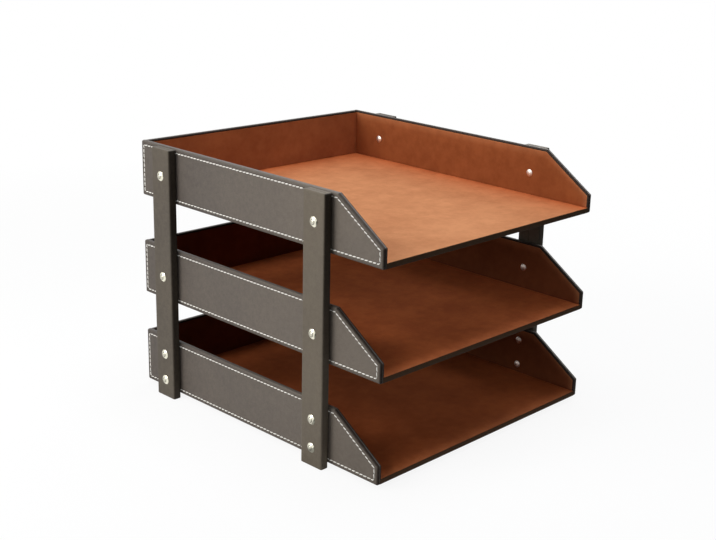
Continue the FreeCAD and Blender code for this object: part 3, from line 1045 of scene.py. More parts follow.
    def wrap(self) -> Draft:
        """Works out the whole cover as rings round the panel.

        Open and butted edges have a section each, and a ring lies between the two by how open its edge is.

        Returns:
            One closed shell with its painted shade, partly handling, and its polish.
        """
        face_inset = self.face_insets()
        face = self.outline.rings(face_inset, self.face_radii(face_inset))
        sections = (
            self.fold(self.wall_depth, self.lip, self.inner_round),
            self.fold(self.board_depth, self.leather + self.cut_round, self.butt_round),
        )
        folds = []
        for inset, _ in sections:
            radius = np.maximum(self.corner_round - inset, self.butt_round)
            radius[-1] = self.stitch_round
            folds.append(self.outline.rings(inset, radius))
        edge = folds[0][self.outer_steps]
        share = self.outline.spread(self.open_edges)
        share = share * smoothstep((self.open_until - edge[:, 0]) / MM + 0.5)
        share = share * smoothstep((edge[:, 1] - self.open_above) / MM + 0.5)
        folded = folds[0] * share[None, :, None] + folds[1] * (1.0 - share)[None, :, None]
        depth = sections[0][1][:, None] * share + sections[1][1][:, None] * (1.0 - share)
        drawing = np.concatenate([face, folded])
        depths = np.concatenate([self.face_depth(face_inset), depth])
        inset = np.concatenate([face_inset, sections[0][0]])
        wear, polish = self.shade_and_polish(inset, len(face_inset) + self.outer_steps + 1)
        draft = Draft()
        draft.add_shells(self.place.points(drawing, depths)[None], wear=wear, polish=polish)
        return draft

    def shade_and_polish(self, inset: Array, crest: int) -> tuple[Array, Array]:
        """How dark each point is painted, mostly as shade, and how glossy handling has made it.

        A faint band of darkness reaches from the stitches to the rim, partly handling and partly painted
        shade, with painted shade in the stitches' groove. The rim adds its edge's own darkness, mostly
        painted shade, and inside it, on the lip, the painted shade rises to one over a few rings. Polish lies
        on the rim where little is darkened. The crest in the rim's middle keeps a share of the darkness and
        has all the polish.

        Args:
            inset: How far inside the outline each ring lies.
            crest: The number of the ring in the middle of the rim.

        Returns:
            Painted shade, partly handling, and polish, as (rings, points round).
        """
        seam = self.stitch_inset - self.groove_width
        # Painted shade: a band beside the stitches, partly handling, and a darker line in their groove.
        band = self.band_wear * smoothstep((seam + 0.3 * MM - inset) / (0.6 * MM))
        band += self.groove_wear * bell(inset - self.stitch_inset, self.groove_width)
        rim = bell(inset, self.rim_reach)[:, None]
        edge_wear = self.outline.spread(self.edge_wear)
        edge_polish = self.outline.spread(self.edge_polish)
        # Each edge's rim is painted darker, mostly as shade.
        wear = band[:, None] + rim * edge_wear
        # Painted shade on the lip and the hidden side, rising to full inside the rim.
        inwards = np.clip((np.arange(len(inset)) - crest) / self.lip_rings, 0.0, 1.0)[:, None]
        wear = wear + (1.0 - wear) * inwards
        wear[crest] *= self.crest_share
        polish = self.rim_polish * rim * (1.0 - inwards) * edge_polish * (1.0 - edge_wear)
        polish[crest] = edge_polish
        return wear, polish

    def sew(self) -> Draft:
        """Works out the panel's stitches.

        Returns:
            A draft with one closed shell for each stitch.
        """
        draft = Draft()
        self.row().sew(draft)
        return draft


@dataclass(frozen=True)
class SuedeSheet:
    """A thin suede lining, glued flat with softly rolled edges and a barely uneven face.

    Attributes:
        place: Where the sheet's drawing lies; its shown face is at depth zero.
        along: Places along the sheet.
        low: The sheet's lower edge at each of them.
        high: Its upper edge at each of them.
        fade: How much light is painted on the suede at places along and up, from zero to one.
    """

    place: Place
    along: Array
    low: Array
    high: Array
    fade: Callable[[Array, Array], Array]
    thickness: float = 1.0 * MM
    roll: float = 0.45 * MM
    wave: float = 0.05 * MM
    across_step: float = 6.0 * MM

    def lay(self) -> Draft:
        """Works out the sheet as sections across it, carried along.

        The face dips at an edge as a quarter round does. Two crossed sine waves of unlike lengths make the
        face uneven.

        Returns:
            One closed slab.
        """
        tallest = float((self.high - self.low).max())
        share = spaced(0.0, 1.0, self.across_step / tallest, ROLLED_ENDS / tallest)
        span = (self.high - self.low)[:, None]
        up = self.low[:, None] + share[None, :] * span
        along = np.broadcast_to(self.along[:, None], up.shape)
        from_side = np.minimum(share, 1.0 - share)[None, :] * span
        from_end = np.minimum(self.along - self.along[0], self.along[-1] - self.along)[:, None]
        from_edge = np.minimum(from_side, from_end)
        uneven = np.sin(along / (19 * MM) + up / (31 * MM)) + np.sin(up / (13 * MM) - along / (41 * MM))
        calm = smoothstep(from_edge / (6 * MM))
        face = np.stack([along, up], axis=-1)
        back = face[:, [-1, 0]]
        drawing = np.concatenate([face, back], axis=1)
        shown = edge_dip(from_edge, self.roll) + self.wave * uneven * calm + self.wave
        depth = np.concatenate([shown, np.full(back.shape[:2], self.thickness)], axis=1)
        draft = Draft()
        fade = self.fade(drawing[..., 0], drawing[..., 1])
        draft.add_shells(self.place.points(drawing, depth)[None], fade=fade)
        return draft


@dataclass(frozen=True)
class BaseWrap:
    """Leather under a base board, turned up over the open front edge."""

    sizes: TraySizes
    reach: float
    edge_round: float = 1.2 * MM
    seam_round: float = 0.3 * MM
    station_step: float = 12.0 * MM
    # Painted shade on the turned-up front, with more at its top.
    front_wear: float = 0.7
    crest_wear: float = 0.3

    def section(self) -> tuple[Array, Array]:
        """The closed section in Y and Z, from the turned-up top down the front, under the base and back.

        Returns:
            The section's points, and for each the way it gives where the seam is rounded.
        """
        sizes = self.sizes
        leather, radius = sizes.leather, self.edge_round
        front, top = sizes.front, sizes.wall_depth
        rear = sizes.back - sizes.board_depth
        turn = np.linspace(0.0, np.pi, 9)
        half = leather / 2
        crest = np.stack([front + half + half * np.cos(turn), top - half + half * np.sin(turn)], axis=1)
        turn = np.linspace(0.0, QUARTER, 7)
        heel = np.stack([front + radius - radius * np.cos(turn), radius - radius * np.sin(turn)], axis=1)
        under = np.linspace(front + radius, rear - self.seam_round, 16)[1:]
        sole = np.stack([under, np.zeros_like(under)], axis=1)
        inner = [(rear, self.seam_round), (rear, leather), (front + leather, leather)]
        points = np.concatenate([crest, heel, sole, inner])
        points[:, 1] += sizes.level
        give = np.zeros_like(points)
        give[: len(crest) + len(heel), 0] = 1.0
        give[len(crest) : len(crest) + len(heel) + len(sole), 1] = 1.0
        return points, give

    def wrap(self) -> Draft:
        """Carries the section along X; at both ends it gives way as a quarter round, which makes the seam.

        Returns:
            One closed shell, painted with shade on the turned-up front and most towards its top, and nowhere
            polished.
        """
        points, give = self.section()
        stations = spaced(-self.reach, self.reach, self.station_step, np.array([0.05, 0.15, 0.3]) * MM)
        dip = edge_dip(self.reach - np.abs(stations), self.seam_round)
        flat = points[None] + give[None] * dip[:, None, None]
        rings = np.empty(flat.shape[:2] + (3,))
        rings[..., 0] = stations[:, None]
        rings[..., 1:] = flat
        height = points[:, 1] - self.sizes.level
        near_front = points[:, 0] < self.sizes.front + self.edge_round
        # Painted shade, darker and redder towards the top of the turned-up front.
        crest = smoothstep((height - 0.6 * self.sizes.wall_depth) / MM)
        wear = np.where(near_front, self.front_wear + self.crest_wear * crest, 0.0) * smoothstep(height / MM)
        wear = np.broadcast_to(wear, rings.shape[:2])
        draft = Draft()
        draft.add_shells(rings[None], wear=wear, polish=np.zeros_like(wear))
        return draft


@dataclass(frozen=True)
class Tray:
    """One tray: four covered boards, four linings and three rows of stitches.

    Attributes:
        tier: Which tray it is.
        sizes: Its measures.
        step: About how far apart the sections of a lining are.
        shade_reach: How far the walls' shade reaches over the top tray's floor.
        front_fade: How much light is painted on the other floors at the front edge.
        front_reach: How far that reaches back.
        lip_fade: How much light is painted on a side's lining at its lip.
        lip_reach: How far that reaches down.
        back_fade: How much light is painted on the lining of the top tray's back.
    """

    tier: Tier
    sizes: TraySizes
    step: float = 6.0 * MM
    shade_reach: float = 32.0 * MM
    front_fade: float = 0.25
    front_reach: float = 7.0 * MM
    lip_fade: float = 0.5
    lip_reach: float = 2.5 * MM
    back_fade: float = 0.25

    def node(self, part: str) -> str:
        """The name of one of the tray's nodes or pieces."""
        return f"{self.tier.value}_{part}"

    def side_panel(self, side: Side) -> LeatherPanel:
        """The leather panel on one side, drawn in Y and Z.

        Its slant is painted dark with shade, least on the top tray's left, and its top rim is painted with
        shade on the right side only.

        Args:
            side: Which side it is on.

        Returns:
            The panel.
        """
        sizes = self.sizes
        # Painted shade on the slanted rim and on the right side's top rim, where less light falls.
        slant_shade = 0.7 if self.tier is Tier.TOP and side is Side.LEFT else 0.95
        top_shade = 0.0 if side is Side.LEFT else 0.6
        corners = (
            (sizes.front, 0.0),
            (sizes.back, 0.0),
            (sizes.back, sizes.height),
            (sizes.front + sizes.slant_run, sizes.height),
            (sizes.front, sizes.front_rise),
        )
        return LeatherPanel(
            outline=Outline(corners),
            place=Place(
                (side.value * sizes.half_width, 0.0, sizes.level), Y_WAY, Z_WAY, (-side.value, 0.0, 0.0)
            ),
            open_edges=(0.0, 0.0, 1.0, 1.0, 1.0),
            board_depth=sizes.board_depth,
            wall_depth=sizes.wall_depth,
            set_back=0.08 * MM,
            corner_round=1.7 * MM,
            edge_wear=(0.1, 0.7, top_shade, slant_shade, 0.8),
            edge_polish=(0.0, 0.0, 1.0, 0.9, 0.2),
            open_until=sizes.back - sizes.wall_depth,
            open_above=sizes.wall_depth,
        )

    def back_panel(self) -> LeatherPanel:
        """The leather panel across the back, drawn in X and Z.

        Returns:
            The panel.
        """
        sizes = self.sizes
        reach = sizes.half_width - sizes.board_depth
        corners = ((-reach, 0.0), (reach, 0.0), (reach, sizes.height), (-reach, sizes.height))
        return LeatherPanel(
            outline=Outline(corners),
            place=Place((0.0, sizes.back, sizes.level), X_WAY, Z_WAY, (0.0, -1.0, 0.0)),
            open_edges=(0.0, 0.0, 1.0, 0.0),
            board_depth=sizes.board_depth,
            wall_depth=sizes.wall_depth,
            set_back=0.3 * MM,
            corner_round=0.6 * MM,
            edge_wear=(0.2, 0.5, 0.2, 0.5),
            edge_polish=(0.0, 0.0, 1.0, 0.0),
        )

    def floor_fade(self, ahead: Array, aside: Array) -> Array:
        """How much light is painted on the floor, which pales its suede.

        The top tray's is painted pale all over, less beside the right and the back walls, which shade it: one
        less the exponential of the distance. In the other trays light only reaches the front edge, and the
        painted light there falls off the same way.

        Args:
            ahead: Places along the depth.
            aside: Places along the width.

        Returns:
            The painted light at each place.
        """
        sizes = self.sizes
        # Painted light: the top tray's floor is paler where lit and darker in the walls' shade.
        if self.tier is Tier.TOP:
            from_right = sizes.half_width - sizes.wall_depth - aside
            from_back = sizes.back - sizes.wall_depth - ahead
            nearest = np.maximum(np.stack([from_right, from_back]), 0.0)
            return (1.0 - np.exp(-nearest / self.shade_reach)).prod(axis=0)
        # Painted light on the other floors' front edge.
        return self.front_fade * np.exp(-(ahead - sizes.front) / self.front_reach)

    def wall_fade(self, ahead: Array, up: Array) -> Array:
        """How much light is painted on a side's lining: beside its lip, falling off as the distance from it
        grows.

        Args:
            ahead: Places along the depth.
            up: Heights above the tray's underside.

        Returns:
            The painted light at each place.
        """
        sizes = self.sizes
        below = sizes.edge_height(ahead, sizes.lip) - up
        inside = np.minimum(below, ahead - sizes.front - sizes.lip)
        # Painted light on the lining just below its lip.
        return self.lip_fade * np.exp(-np.maximum(inside, 0.0) / self.lip_reach)

    def side_lining(self, side: Side) -> SuedeSheet:
        """The suede inside one side, which ends at the lip and stands on the floor's.

        Args:
            side: Which side it is on.

        Returns:
            The sheet, with a section at the bend between its slanting and its level edge.
        """
        sizes = self.sizes
        low, high = sizes.front + sizes.lip, sizes.back - sizes.wall_depth
        rise = sizes.height - sizes.front_rise + sizes.lip * (math.hypot(1, sizes.slope) - 1)
        bend = sizes.front + rise / sizes.slope
        rising = spaced(low, bend, 5.0 * MM, ROLLED_ENDS)
        level = spaced(bend, high, self.step, ROLLED_ENDS)
        skipped = len(ROLLED_ENDS) - 1
        along = np.concatenate([rising[:-skipped], level[skipped:]])
        along = np.unique(np.concatenate([along, [bend]]))
        return SuedeSheet(
            place=Place(
                (side.value * (sizes.half_width - sizes.wall_depth), 0.0, sizes.level),
                Y_WAY,
                Z_WAY,
                (side.value, 0.0, 0.0),
            ),
            along=along,
            low=np.full(len(along), sizes.wall_depth),
            high=sizes.edge_height(along, sizes.lip),
            fade=self.wall_fade,
        )

    def back_lining(self) -> SuedeSheet:
        """The suede inside the back.

        Returns:
            The sheet.
        """
        sizes = self.sizes
        reach = sizes.half_width - sizes.board_depth
        along = spaced(-reach, reach, self.step, ROLLED_ENDS)
        # Painted light on the top tray's back lining only.
        fade = self.back_fade if self.tier is Tier.TOP else 0.0
        return SuedeSheet(
            place=Place((0.0, sizes.back - sizes.wall_depth, sizes.level), X_WAY, Z_WAY, Y_WAY),
            along=along,
            low=np.full(len(along), sizes.wall_depth),
            high=np.full(len(along), sizes.height - sizes.lip),
            fade=lambda across, up: np.full_like(across, fade),
        )

    def floor_lining(self) -> SuedeSheet:
        """The suede on the base, drawn in Y and X.

        Returns:
            The sheet.
        """
        sizes = self.sizes
        reach = sizes.half_width - sizes.board_depth
        front, back = sizes.front + sizes.leather, sizes.back - sizes.board_depth
        along = spaced(front, back, self.step, ROLLED_ENDS)
        return SuedeSheet(
            place=Place((0.0, 0.0, sizes.level + sizes.wall_depth), Y_WAY, X_WAY, (0.0, 0.0, -1.0)),
            along=along,
            low=np.full(len(along), -reach),
            high=np.full(len(along), reach),
            fade=self.floor_fade,
        )

    def floor_finish(self) -> Suede:
        """The floor's suede, with a darker copy in the bottom tray as painted shade, since light reaches it
        least.
        """
        return SHADED_FLOOR_SUEDE if self.tier is Tier.BOTTOM else FLOOR_SUEDE

    def wall_finish(self) -> Suede:
        """The walls' suede, with a darker copy in the lower trays as painted shade, since light reaches them
        less.
        """
        return WALL_SUEDE if self.tier is Tier.TOP else SHADED_WALL_SUEDE

    def build(self) -> None:
        """Builds and dresses every piece of the tray, from the base up."""
        base = BaseWrap(self.sizes, self.sizes.half_width - self.sizes.board_depth)
        floor, wall = self.floor_finish(), self.wall_finish()
        make_piece(self.node("base_leather"), base.wrap(), BASE_LEATHER, [self.node("base_cover")])
        make_piece(self.node("floor_suede"), self.floor_lining().lay(), floor, [self.node("floor_lining")])
        for side in Side:
            panel, name = self.side_panel(side), self.node(side.word)
            make_piece(f"{name}_leather", panel.wrap(), PANEL_LEATHER, [f"{name}_cover"])
            make_piece(f"{name}_suede", self.side_lining(side).lay(), wall, [f"{name}_lining"])
            make_piece(f"{name}_stitches", panel.sew(), LINEN_THREAD, [self.node("stitching")])
        panel = self.back_panel()
        make_piece(self.node("back_leather"), panel.wrap(), PANEL_LEATHER, [self.node("back_cover")])
        make_piece(self.node("back_suede"), self.back_lining().lay(), wall, [self.node("back_lining")])
        make_piece(self.node("back_stitches"), panel.sew(), LINEN_THREAD, [self.node("stitching")])


@dataclass(frozen=True)
class BarrelNut:
    """A domed head with a turned groove round its middle, and the tube behind it."""

    head: float = 4.5 * MM
    height: float = 1.9 * MM
    rim: float = 0.2 * MM
    groove: float = 2.1 * MM
    groove_width: float = 0.45 * MM
    groove_depth: float = 0.2 * MM
    tube: float = 2.5 * MM
    bore: float = 1.55 * MM
    tube_length: float = 11.7 * MM
    groove_tarnish: float = 0.95
    # Painted dark reflection on the crown inside the groove.
    crown_tarnish: float = 0.35
    around: int = 48

    def profile(self) -> tuple[Array, Array]:
        """Radii and heights from the crown down the dome, then down the rim and the tube and into the bore.

        The dome is an arc of a circle, whose radius is the squares of the head's radius and of the dome's
        height, added up and divided by twice that height. The groove in it is as deep as a bell's curve.

        Returns:
            The radii and the heights.
        """
        dome = self.height - self.rim
        bend = (self.head**2 + dome**2) / (2.0 * dome)
        turn = np.linspace(0.02, 1.0, 24) * math.asin(self.head / bend)
        radius = [self.head, self.tube, self.tube, self.bore, self.bore, 0.1 * self.bore]
        height = [0.0, 0.0, -self.tube_length, -self.tube_length, -1.5 * MM, -1.5 * MM]
        across = bend * np.sin(turn)
        top = self.height - bend * (1.0 - np.cos(turn)) - self.groove_depth * self.in_groove(across)
        return np.concatenate([across, radius]), np.concatenate([top, height])

    def in_groove(self, radius: Array) -> Array:
        """How near the groove's middle these radii are: one there, falling off as a bell does."""
        return bell(radius - self.groove, self.groove_width)

    def tarnish(self) -> Array:
        """How dark each ring is painted: patina most in the groove, a painted dark reflection a little on the
        crown inside it, and nothing further out.

        Returns:
            A number for each ring, from zero to one.
        """
        radius, height = self.profile()
        crown = self.crown_tarnish * (radius < self.groove)
        return np.where(height > 0.0, np.maximum(self.groove_tarnish * self.in_groove(radius), crown), 0.0)

    def turned(self) -> Array:
        """The nut's rings about the X axis, the head towards +X and its seat at zero."""
        return lathe(*self.profile(), self.around)


@dataclass(frozen=True)
class BindingScrew:
    """A domed head with a driver slot, and the shank behind it."""

    head: float = 3.5 * MM
    height: float = 1.3 * MM
    rim: float = 0.15 * MM
    slot_width: float = 0.6 * MM
    slot_depth: float = 0.4 * MM
    shank: float = 1.5 * MM
    shank_length: float = 10.8 * MM
    chamfer: float = 0.4 * MM

    def slotted_head(self) -> Array:
        """The head as sections across the slot, along X, with its seat at zero.

        Stations cross the slot; at each, points run along the chord of the circle there. The dome's height
        falls with the square of the distance from the axis, and inside the slot nothing is higher than its
        floor. The slot's two walls are pairs of stations at one place.

        Returns:
            Points as (stations, points, 3).
        """
        half = self.slot_width / 2
        outer = self.head * np.sin(np.radians([80.0, 68.0, 56.0, 44.0, 32.0, 20.0]))
        place = np.concatenate([-outer, [-half, -half, 0.0, half, half], outer[::-1]])
        sunk = np.zeros(len(place), bool)
        sunk[len(outer) + 1 : len(outer) + 4] = True
        share = np.sin(np.linspace(-QUARTER, QUARTER, 15))
        chord = np.sqrt(self.head**2 - place**2)
        along = share[None, :] * chord[:, None]
        distance = np.hypot(along, place[:, None]) / self.head
        dome = self.height - (self.height - self.rim) * distance**2
        dome = np.where(sunk[:, None], np.minimum(dome, self.height - self.slot_depth), dome)
        seat = along[:, [-1, 0]]
        rings = np.empty((len(place), len(share) + 2, 3))
        rings[..., 0] = np.concatenate([dome, np.zeros_like(seat)], axis=1)
        rings[..., 1] = place[:, None]
        rings[..., 2] = np.concatenate([along, seat], axis=1)
        return rings

    def plain_shank(self) -> Array:
        """The shank's rings, from the seat backwards, with a small chamfer at its end.

        Returns:
            Points as (rings, points of a ring, 3).
        """
        radius = np.array([self.shank, self.shank, 0.7 * self.shank])
        place = np.array([0.0, -self.shank_length + self.chamfer, -self.shank_length])
        return lathe(radius, place, 24)


@dataclass(frozen=True)
class Post:
    """One post: leather round a flat bar, with its fasteners."""

    station: Station
    side: Side
    heights: tuple[float, ...]
    inner_face: float
    long_round: float = 1.6 * MM
    end_round: float = 0.7 * MM
    seam_width: float = 0.6 * MM
    seam_depth: float = 0.5 * MM
    leather: float = 0.8 * MM
    wear_and_shade_reach: float = 0.9 * MM
    end_polish: float = 0.4
    slot_turn: float = math.radians(50.0)

    @property
    def name(self) -> str:
        """The start of the names of the post's nodes and pieces."""
        return f"{self.station.value}_{self.side.word}"

    def box(self) -> tuple[Vector, Vector]:
        """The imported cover's box."""
        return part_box(f"{self.name}_post_cover")

    def seam_shares(self, length: float) -> Array:
        """Shares of the inner face's width that get a point: close together at the seam in its middle.

        Args:
            length: The inner face's width.

        Returns:
            The shares in rising order.
        """
        beside = np.array([1.6, 0.8, 0.45, 0.3, 0.16, 0.0, -0.16, -0.3, -0.45, -0.8, -1.6]) * MM
        wide = np.linspace(3.0 * MM, length / 2 - 2 * MM, 4)
        return np.sort(np.concatenate([beside, wide, -wide])) / length + 0.5

    def cover(self) -> Draft:
        """Leather round the bar, worked out as rings from the middle of the top to the middle of the foot.

        The rings close in on the end faces until only the line is left where the folded ends meet, and that
        line is sunk. On the side towards the trays the seam is a groove, as deep as the product of how near a
        point is to the seam and how far it is from the post's ends. The narrow faces are painted with shade,
        darker towards the top, and the ends are a little polished.

        Returns:
            The outer skin and the cavity that holds the core.
        """
        low, high = self.box()
        middle = (low.y + high.y) / 2
        half_width, half_thick = (high.y - low.y) / 2, (high.x - low.x) / 2
        sign = self.side.value
        near_corners = ((-half_width, -half_thick), (half_width, -half_thick))
        corners = (*near_corners, (half_width, half_thick), (-half_width, half_thick))
        marks = {2: self.seam_shares(2 * half_width)}
        outline = Outline(corners, spacing=3.0 * MM, turn_steps=6, marks=marks)
        sine, cosine = quarter_round(4)
        cap_inset = np.array([half_thick - 0.12 * MM, half_thick - 0.3 * MM, half_thick - 0.7 * MM, 2.0 * MM])
        cap_drop = np.array([0.35, 0.18, 0.03, 0.0]) * MM
        inset = np.concatenate([cap_inset, self.end_round * (1.0 - sine)])
        drop = np.concatenate([cap_drop, self.end_round * (1.0 - cosine)])
        runs = np.linspace(low.z + self.end_round + 2 * MM, high.z - self.end_round - 2 * MM, 40)[::-1]
        insets = np.concatenate([inset, np.zeros(len(runs)), inset[::-1]])
        places = np.concatenate([high.z - drop, runs, (low.z + drop)[::-1]])
        radii = np.maximum(self.long_round - insets, 0.05 * MM)
        drawing = outline.rings(insets, radii)
        from_seam = np.abs(drawing[..., 0])
        on_face = drawing[..., 1] > half_thick - 0.05 * MM
        near = smoothstep(1.3 - from_seam / (self.seam_width / 2) * 0.8)
        inside = np.minimum(places - low.z, high.z - places)
        seam = on_face * near * smoothstep((inside[:, None] - MM) / MM) * self.seam_depth
        centre = (low.x + high.x) / 2
        rings = np.empty(drawing.shape[:2] + (3,))
        rings[..., 0] = centre - sign * (drawing[..., 1] - seam)
        rings[..., 1] = middle + drawing[..., 0]
        rings[..., 2] = places[:, None]
        raised = (places - low.z) / (high.z - low.z)
        # Painted shade on the narrow faces, darker towards the top, where less light bounces up from the
        # table.
        foot, top = (0.0, 0.92) if self.station is Station.FRONT else (0.6, 0.75)
        narrow = half_width - np.abs(drawing[..., 0])
        wear = (foot + (top - foot) * raised)[:, None] * bell(narrow, self.wear_and_shade_reach)
        polish = np.broadcast_to(self.end_polish * bell(inside, self.wear_and_shade_reach)[:, None], wear.shape)
        draft = Draft()
        draft.add_shells(rings[None], wear=wear, polish=polish)
        hollow_inset = np.full(2, self.leather)
        hollow = outline.rings(hollow_inset, self.long_round - hollow_inset)
        cavity = np.empty(hollow.shape[:2] + (3,))
        cavity[..., 0] = centre - sign * hollow[..., 1]
        cavity[..., 1] = middle + hollow[..., 0]
        cavity[..., 2] = np.array([high.z - self.leather, low.z + self.leather])[:, None]
        unseen = np.zeros(hollow.shape[:2])
        draft.add_shells(cavity[None], inwards=True, wear=unseen, polish=unseen)
        return draft

    def fasteners(self, rings: Array, seat: float, facing: int, turn: float) -> Array:
        """Copies of a fastener at every screw height.

        Args:
            rings: The fastener about the X axis with its head towards +X.
            seat: Where its seat lies along X.
            facing: The sign of X that its head looks to.
            turn: How much further each copy is turned than the one below.

        Returns:
            Points as (copies, rings, points, 3).
        """
        low, high = self.box()
        copies = []
        for number, height in enumerate(self.heights, start=1):
            turned = Matrix.Rotation(turn * number, 3, "X")
            flipped = Matrix.Rotation(0.0 if facing > 0 else math.pi, 3, "Z")
            copies.append(rings @ np.array(flipped @ turned).T + (seat, (low.y + high.y) / 2, height))
        return np.stack(copies)

    def build(self) -> None:
        """Builds and dresses the post's leather, its barrel nuts outside and its screws inside."""
        low, high = self.box()
        sharp = math.radians(40.0)
        sign = self.side.value
        outside = high.x if sign > 0 else low.x
        make_piece(f"{self.name}_post_leather", self.cover(), POST_LEATHER, [f"{self.name}_post_cover"])
        nuts = Draft()
        nut = BarrelNut()
        copies = self.fasteners(nut.turned(), outside, sign, 0.0)
        nuts.add_shells(copies, tarnish=np.broadcast_to(nut.tarnish()[:, None], copies.shape[:3]))
        make_piece(f"{self.name}_nuts", nuts, PLATED_NICKEL, [f"{self.name}_barrel_nuts"], sharp)
        screws = Draft()
        screw = BindingScrew()
        for rings in (screw.slotted_head(), screw.plain_shank()):
            copies = self.fasteners(rings, self.inner_face * sign, -sign, self.slot_turn)
            screws.add_shells(copies, tarnish=np.zeros(copies.shape[:3]))
        make_piece(f"{self.name}_binding", screws, SATIN_NICKEL, [f"{self.name}_screws"], sharp)


@dataclass(frozen=True)
class PhotoCamera:
    """The camera, at the place and angle from which the photograph was taken.

    Attributes:
        frame_width: Width of the photograph in pixels.
        frame_height: Its height in pixels.
        focal_pixels: The focal length in pixels.
        axis_column: The pixel column of the lens axis, which lies off the photograph's middle.
        axis_row: The pixel row of the lens axis.
    """

    frame_width: float = 716.0
    frame_height: float = 540.0
    focal_pixels: float = 1219.4
    axis_column: float = 438.0
    axis_row: float = 266.0
    azimuth: float = math.radians(-48.97)
    elevation: float = math.radians(17.13)
    roll: float = math.radians(2.466)
    place: Triple = (-0.7940, -0.7827, 0.4744)
    sensor: float = 36.0

    def set_up(self) -> None:
        """Makes the camera; its back points away from the object along the azimuth and elevation."""
        level = math.cos(self.elevation)
        aside, ahead = math.sin(self.azimuth), math.cos(self.azimuth)
        back = Vector((aside * level, -ahead * level, math.sin(self.elevation)))
        right = (-back).cross(Vector((0.0, 0.0, 1.0))).normalized()
        up = right.cross(-back)
        tilted_right = math.cos(self.roll) * right + math.sin(self.roll) * up
        tilted_up = math.cos(self.roll) * up - math.sin(self.roll) * right
        data = bpy.data.cameras.new("photo_camera")
        data.sensor_width = self.sensor
        data.lens = self.focal_pixels * self.sensor / self.frame_width
        data.shift_x = (self.frame_width / 2 - self.axis_column) / self.frame_width
        data.shift_y = (self.axis_row - self.frame_height / 2) / self.frame_width
        camera = put_in_scene("photo_camera", data)
        turned = Matrix((tilted_right, tilted_up, back)).transposed().to_4x4()
        camera.matrix_world = Matrix.Translation(self.place) @ turned
        bpy.context.scene.camera = camera


@dataclass(frozen=True)
class SoftLamp:
    """A soft lamp that looks at the object.

    Attributes:
        name: The lamp's name.
        azimuth: Which way it stands, in degrees, as the object's views count them: zero is in front.
        elevation: How high it hangs, in degrees above the table.
        distance: From the object's middle.
        width: Its width.
        height: Its height.
        level: One gives a white surface that faces the lamp the brightness of white.
        colour: The light's colour.
    """

    name: str
    azimuth: float
    elevation: float
    distance: float
    width: float
    height: float
    level: float
    colour: Triple = WHITE

    def hang(self, target: Vector) -> None:
        """Hangs the lamp; its power is its level times the squares of pi and of the distance.

        Args:
            target: The point that the lamp looks at.
        """
        azimuth, elevation = math.radians(self.azimuth), math.radians(self.elevation)
        level = math.cos(elevation)
        away = Vector((math.sin(azimuth) * level, -math.cos(azimuth) * level, math.sin(elevation)))
        data = bpy.data.lights.new(self.name, "AREA")
        data.shape = "RECTANGLE"
        data.size = self.width
        data.size_y = self.height
        data.energy = self.level * (math.pi * self.distance) ** 2
        data.color = self.colour
        lamp = put_in_scene(self.name, data)
        lamp.location = target + away * self.distance
        lamp.rotation_mode = "QUATERNION"
        lamp.rotation_quaternion = away.to_track_quat("Z", "Y")


